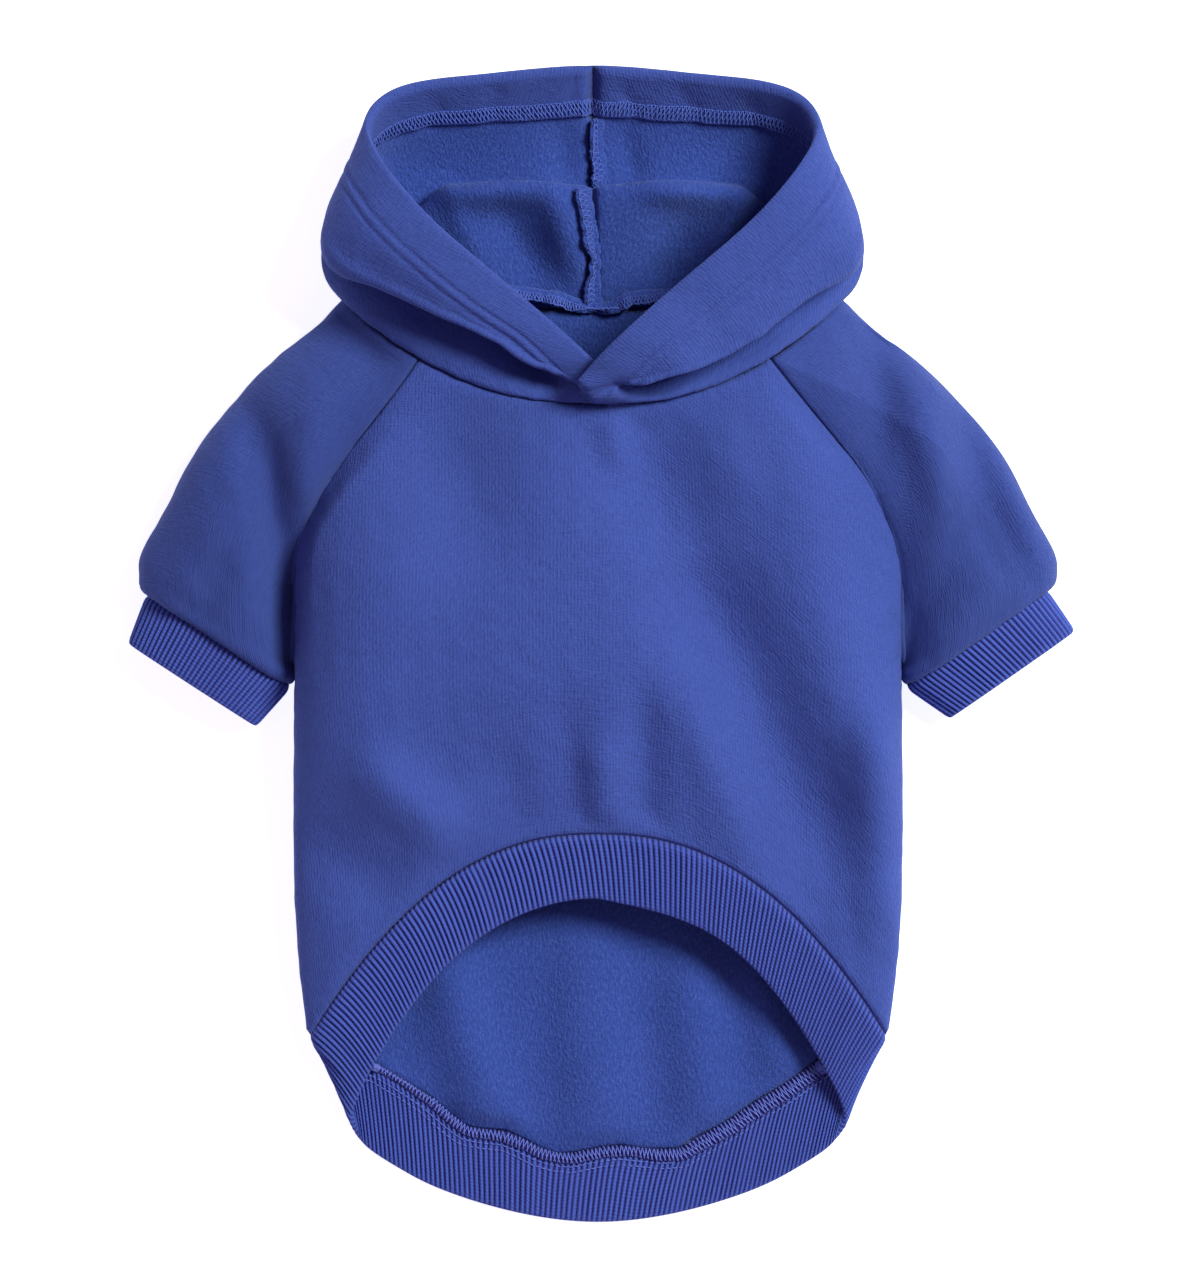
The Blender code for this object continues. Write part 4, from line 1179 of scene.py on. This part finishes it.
def softened(values, reach):
    """Values smoothed along their last axis."""
    kernel = bell(np.arange(-3 * reach, 3 * reach + 1), 0, reach)
    kernel /= kernel.sum()
    padded = np.pad(values, [(0, 0)] * (values.ndim - 1) + [(3 * reach, 3 * reach)], mode="edge")
    return np.apply_along_axis(lambda line: np.convolve(line, kernel, "valid"), -1, padded)


def draped(drape, course, shares=LANES, smoothing=3):
    """A strip along a course, laid on the surface below it, and its normals. Its lanes are
    these shares of the course's width away, to the right of the way."""
    knots = placed(*at_pixel(np.array(course.x), np.array(course.y)), course.width, course.top)
    along = so_far(knots[:, :2])
    at = np.arange(0, along[-1], DRAPE_STEP)
    line = placed(*(np.interp(at, along, column) for column in knots.T))
    line[:, :3] = softened(line[:, :3].T, 3).T
    way = unit(np.gradient(line[:, :2], axis=0))
    right = placed(way[:, 1], -way[:, 0])
    places = line[:, :2] + right * (line[:, 2:3] * shares[:, None, None])
    tops = np.broadcast_to(line[:, 3], places.shape[:2])
    heights = softened(drape.heights(places, tops), smoothing)
    grid = np.concatenate([places, heights[..., None]], axis=-1)
    normals = normals_of(grid, False)
    return grid, normals * (-1 if normals[..., 2].mean() < 0 else 1)


def ribbon(name, grid, normals, thick, lifts, material, seed, ragged):
    """A seam allowance: a narrow strip of cloth that lies on another, one edge free.
    `lifts` gives how far it stands off, from its first lane to its last."""
    share = np.linspace(0, 1, len(grid))[:, None]
    lift = np.interp(share, np.linspace(0, 1, len(lifts)), lifts)
    wander = 1 + 0.35 * ripple(grid[0], 0.007, seed) * ragged
    middle = grid + normals * (lift * wander + thick / 2)[..., None]
    fray = ripple(grid[0], 0.0019, seed + 1) * 0.00022 + ripple(grid[0], 0.012, seed + 2) * 0.0004
    middle = middle + unit(grid[-1] - grid[0]) * (fray * share * ragged)[..., None]
    far = arc(middle, 0)
    half = thick / 2 * rolled(np.minimum(far + 0.0004, far[-1:] - far), thick / 2)
    half = half + 0.00006 * ripple(middle, 0.0016, seed + 3)
    flip = bool(normals_of(middle, False)[..., 2].mean() < 0)
    place = (arc(middle, 1), arc(middle, 0))
    looks = [material, material]
    piece, top, under = cloth_mesh(name, middle, half, half, place, False, flip, looks)
    return piece, top


def shaped_hood(grid, side):
    """Deepens the tuck under the flap, straightens the inside pleat and adds its folds.
    Rows run from the neck seam to the rim, and columns from the throat to the crown."""
    grid = np.array(grid)
    right = side == "right"
    rows = np.arange(grid.shape[0])[:, None]
    cols = np.arange(grid.shape[1])[None]
    span = ramp(cols, 6, 20) * ramp(cols, 138, 122)
    if right:
        drop = 0.0033 - 0.0080 * ramp(cols, 84, 114)
    else:
        drop = 0.0040 * ramp(cols, 44, 20) - 0.0058 - 0.0022 * bell(cols, 58, 22)
    drop = drop * ramp(rows, 8, 60) * ramp(rows, 140, 76)
    roll = (0.0066 if right else 0.0050) * ramp(rows, 0, 30) * ramp(rows, 68, 59)
    sink = 0.0075 * ramp(rows, 20, 54) * ramp(rows, 70, 64)
    tuck = bell(rows, 60.5, 4.0)
    lip = (0.0018 if right else 0.0008) * bell(rows, 76, 8)
    grid[..., 1] += span * (0.0014 * tuck - drop - lip)
    grid[..., 2] += span * (0.0027 * bell(rows, 78, 8) - roll - sink - 0.0040 * tuck)
    facing_up = normals_of(grid, False)[..., 2] * (1 if right else -1)
    x, y = to_pixel(grid)
    off = np.abs(x - HOOD_PIXEL_X)
    crest = 188 + 0.00105 * off**2
    low = ramp(grid[..., 2], 0.026, 0.018) * ramp(cols, 96, 156)
    near = bell(y, crest + 4, 24) * ramp(off, 190, 140) * low
    grid[..., 1] += near * (crest - 189) * SCALE
    pleat = ramp(off, 30, 90) * ramp(off, 175, 135) * bell(y, crest + 6, 11) * low
    grid[..., 2] += 0.0050 * pleat * ramp(facing_up, 0.5, 0)
    inside = ramp(facing_up, 0, -0.5) * ramp(grid[..., 2], 0.036, 0.026)
    seams = ("first row", "last row", "last column")
    return folded(grid, INSIDE_FOLDS, inside * near_edges(grid, seams, 0.002))


def make_panels():
    """The belly, the back, both sleeves, both cuffs and the band, each with its grid."""
    belly_flat = leaned(panel_grid(belly_point, BELLY_STEPS))
    back_flat = leaned(panel_grid(back_point, BACK_STEPS))
    belly = lowered(folded(belly_flat, BELLY_FOLDS, near_edges(belly_flat, EDGES, 0.012)))
    back = folded(back_flat, BACK_FOLDS, near_edges(back_flat, EDGES, 0.010))
    back = kept_above(back, FLOOR)
    back = nudged(back, bell(arc(back, 0), 0, 0.024))
    made = {
        "belly": panel("belly", belly, "belly_panel", EDGES, False, False, 11),
        "back": panel("back", back, "back_panel", EDGES, True, False, 21),
    }
    seams = ("first row", "last row")
    for side, turn, table in (("right", 1, RIGHT_SLEEVE_FOLDS), ("left", -1, LEFT_SLEEVE_FOLDS)):
        flip = side == "right"
        grid = leaned(sleeve_grid(side) * (turn, 1, 1))
        normals = normals_of(grid, True) * (-1 if flip else 1)
        facing_up = normals[..., 2]
        to_cuff = to_edges(grid, seams)[1]
        grid = folded(grid, table, smooth(facing_up * 1.6) * near_edges(grid, seams, 0.008))
        blouse = BLOUSING * bell(to_cuff, 0.0045, 0.0035) * smooth(facing_up + 0.6)
        grid = kept_above(grid + normals * blouse[..., None], FLOOR)
        name = f"sleeve_{side}"
        made[name] = panel(f"{name}_cloth", grid, name, seams, flip, True, 31)
        name = f"cuff_{side}"
        loops = leaned(cuff_grid(side) * (turn, 1, 1))
        made[name] = ribbed(f"{name}_rib", loops, name, flip, CUFF_RIBS)
    loops = leaned(band_grid(belly_flat, back_flat))
    made["band"] = ribbed("band_rib", loops, "hem_band", True, BAND_RIBS, nudged_band)
    return made


def make_hood():
    """Both halves of the hood, their rims turned in: each piece with its outer and inner
    surface, its grid, and each point's length from the rim."""
    halves = {}
    for side, laps_over, turn in (("right", True, 1), ("left", False, -1)):
        grid = shaped_hood(leaned(hood_grid(laps_over) * (turn, 1, 1)), side)
        grid = lengthened(grid, RIM_ROUND, (0.35, 0.8, 1))
        to_rim = arc(grid[::-1], 0)[::-1]
        half, pucker = knit_offsets(grid, ["first row", "last column"], 51)
        plain = knit_offsets(grid, ["first row"], 51)[0]
        from_neck = ramp(arc(grid, 0), 0, 0.012)
        hem = ramp(to_rim, HEM_EDGE, HEM_EDGE - 0.0012) * from_neck
        rim = rolled(to_rim, RIM_RADIUS) * rolled(arc(grid, 1), THROAT_RADIUS)
        relief = RIDGE_HEIGHT * bell(to_rim, RIDGE_PLACE, RIDGE_WIDTH)
        relief -= GROOVE_DEPTH * sum(bell(to_rim, place, width) for place, width in GROOVES)
        outer = (half + pucker + relief * from_neck) * rim
        lined = mix(half, plain, ramp(to_rim, HEM_EDGE, HEM_EDGE + 0.002))
        inner = (lined + pucker * 0.3 + hem * half * 2) * rim
        # The hood's outside takes the knit's darker copy: painted shade
        piece, top, under = cloth_mesh(
            f"hood_{side}_cloth",
            grid,
            outer,
            inner,
            uv_of(grid),
            False,
            side == "left",
            [SHADED_HOOD_KNIT, FLEECE_LOOK],
            facing=to_rim < HEM_FACING,
        )
        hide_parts(f"hood_{side}")
        halves[side] = (piece, top, under, grid, to_rim)
    return halves


def allowance(name, laid, thick, lifts, seed, ragged, pitch, radius, slant, stitch_seed):
    """A seam allowance of fleece, with the overlock stitches along its free edge."""
    grid, normals = laid
    ribbon_name = f"{name}_allowance"
    piece, top = ribbon(ribbon_name, grid, normals, thick, lifts, FLEECE_LOOK, seed, ragged)
    strip = Strip(top[3:-1], normals[3:-1])
    return [piece, overlock(f"{name}_overlock", strip, pitch, radius, slant, stitch_seed)]


def make_stitches(made, halves):
    """Overlock and topstitch threads, and the seam allowances that they hold."""
    kept = {"left": [], "right": [], "band": [], "back": []}
    for side, (_, top, under, grid, to_rim) in halves.items():
        normals = normals_of(grid, False) * (-1 if side == "left" else 1)
        strip = lanes_at(under, -normals, to_rim, np.linspace(HEM_FACING, HEM_EDGE - 0.0006, 6))
        kept[side].append(overlock(f"rim_overlock_{side}", strip, 0.0017, 0.00025, 2.3, 5))
        sink = 0.00008 if side == "right" else 0.00018
        for k, distance in enumerate(TOPSTITCHES if side == "right" else TOPSTITCHES[:1]):
            strip = lanes_at(top, normals, to_rim, [distance - 0.0004, distance + 0.0004])
            name = f"hood_topstitch_{side}_{k}"
            kept[side].append(running(name, strip, 0.0032, 0.00019, 0.66, sink, SEAM_THREAD))
    drape = Drape([halves["left"][0], halves["right"][0], made["back"][0], made["band"][0]])
    # Seed, raggedness, and the stitches' pitch, thread radius, slant and seed
    centre = (71, 1.0, 0.0024, 0.00021, 1.3, 8)
    back_neck = (81, 1.2, 0.0014, 0.00024, 1.4, 9)
    lifts = (-0.0016, -0.0004, 0.0004, 0.0014, 0.0022)
    laid = draped(drape, UPPER_CENTRE)
    kept["right"] += allowance("upper_centre", laid, 0.0016, lifts, *centre)
    lifts = (-0.0016, -0.0004, 0.0003, 0.0010, 0.0020)
    laid = draped(drape, LOWER_CENTRE)
    kept["right"] += allowance("lower_centre", laid, 0.0016, lifts, *centre)
    lifts = (-0.0010, 0.0004, 0.0012, 0.0020, 0.0024)
    laid = draped(drape, BACK_NECK, smoothing=8)
    kept["back"] += allowance("back_neck", laid, 0.0026, lifts, *back_neck)
    grid, normals = draped(drape, BACK_HEM)
    lifts = (-0.0008, 0.0002, 0.0003, -0.0001, -0.0010)
    piece, top = ribbon("back_hem_allowance", grid, normals, 0.0012, lifts, RIB_LOOK, 91, 0.6)
    strip = Strip(top[:-1] + normals[:-1] * 0.0001, normals[:-1])
    stitches = overlock("back_hem_overlock", strip, 0.0017, 0.00024, 1.5, 10, HEM_THREAD, False)
    kept["band"] += [piece, stitches]
    for k, (width, last) in enumerate(((0.0052, BACK_HEM_LEFT_POINTS), (0.0074, None))):
        course = Course(BACK_HEM.x[:last], BACK_HEM.y[:last], width, BACK_HEM.top)
        strip = Strip(*draped(drape, course, np.linspace(0.92, 1.08, 3)))
        name = f"back_hem_stitch_{k}"
        kept["band"].append(running(name, strip, 0.0026, 0.00022, 0.72, -0.00035, HEM_THREAD))
    return kept


def light(name, place, size, energy, colour):
    """A round soft lamp that shines at the origin."""
    data = bpy.data.lights.new(name, "AREA")
    data.shape = "DISK"
    data.size = size
    data.energy = energy
    data.color = colour
    lamp = bpy.data.objects.new(name, data)
    lamp.location = place
    lamp.rotation_euler = (-Vector(place)).to_track_quat("-Z", "Y").to_euler()
    lamp.visible_camera = False
    bpy.context.scene.collection.objects.link(lamp)


def make_stage():
    """A pale floor, soft light from the upper right, and a camera straight above."""
    scene = bpy.context.scene
    data = bpy.data.meshes.new("floor")
    far = 6.0
    data.from_pydata([(-far, -far, 0), (far, -far, 0), (far, far, 0), (-far, far, 0)], [], [range(4)])
    floor = bpy.data.objects.new("floor", data)
    floor.location.z = -0.0002
    scene.collection.objects.link(floor)
    paper = bpy.data.materials.new("pale_floor")
    paper.use_nodes = True
    inputs = paper.node_tree.nodes["Principled BSDF"].inputs
    inputs["Base Color"].default_value = (0.94, 0.94, 0.94, 1)
    inputs["Roughness"].default_value = 0.9
    inputs["Emission Color"].default_value = (1, 1, 1, 1)
    inputs["Emission Strength"].default_value = 0.82
    data.materials.append(paper)
    light("key", (2.02, 1.31, 2.67), 1.4, 150, (0.94, 1.0, 0.955))
    light("fill", (-0.5, -1.7, 1.0), 1.2, 3, (1.0, 0.80, 1.0))
    world = bpy.data.worlds.new("studio")
    world.use_nodes = True
    inputs = world.node_tree.nodes["Background"].inputs
    inputs["Color"].default_value = (1.0, 0.74, 1.0, 1)
    inputs["Strength"].default_value = 0.23
    scene.world = world
    scene.view_settings.view_transform = "Standard"
    height, level, sensor = 4.0, 0.006, 36
    lens = bpy.data.cameras.new("camera")
    lens.sensor_width = sensor
    lens.lens = sensor * (height - level) / (PHOTO_HEIGHT * SCALE)
    lens.clip_end = 50
    camera = bpy.data.objects.new("camera", lens)
    camera.location = (0.0008, -0.0002, height)
    scene.collection.objects.link(camera)
    scene.camera = camera


make_stage()
made = make_panels()
halves = make_hood()
kept = make_stitches(made, halves)
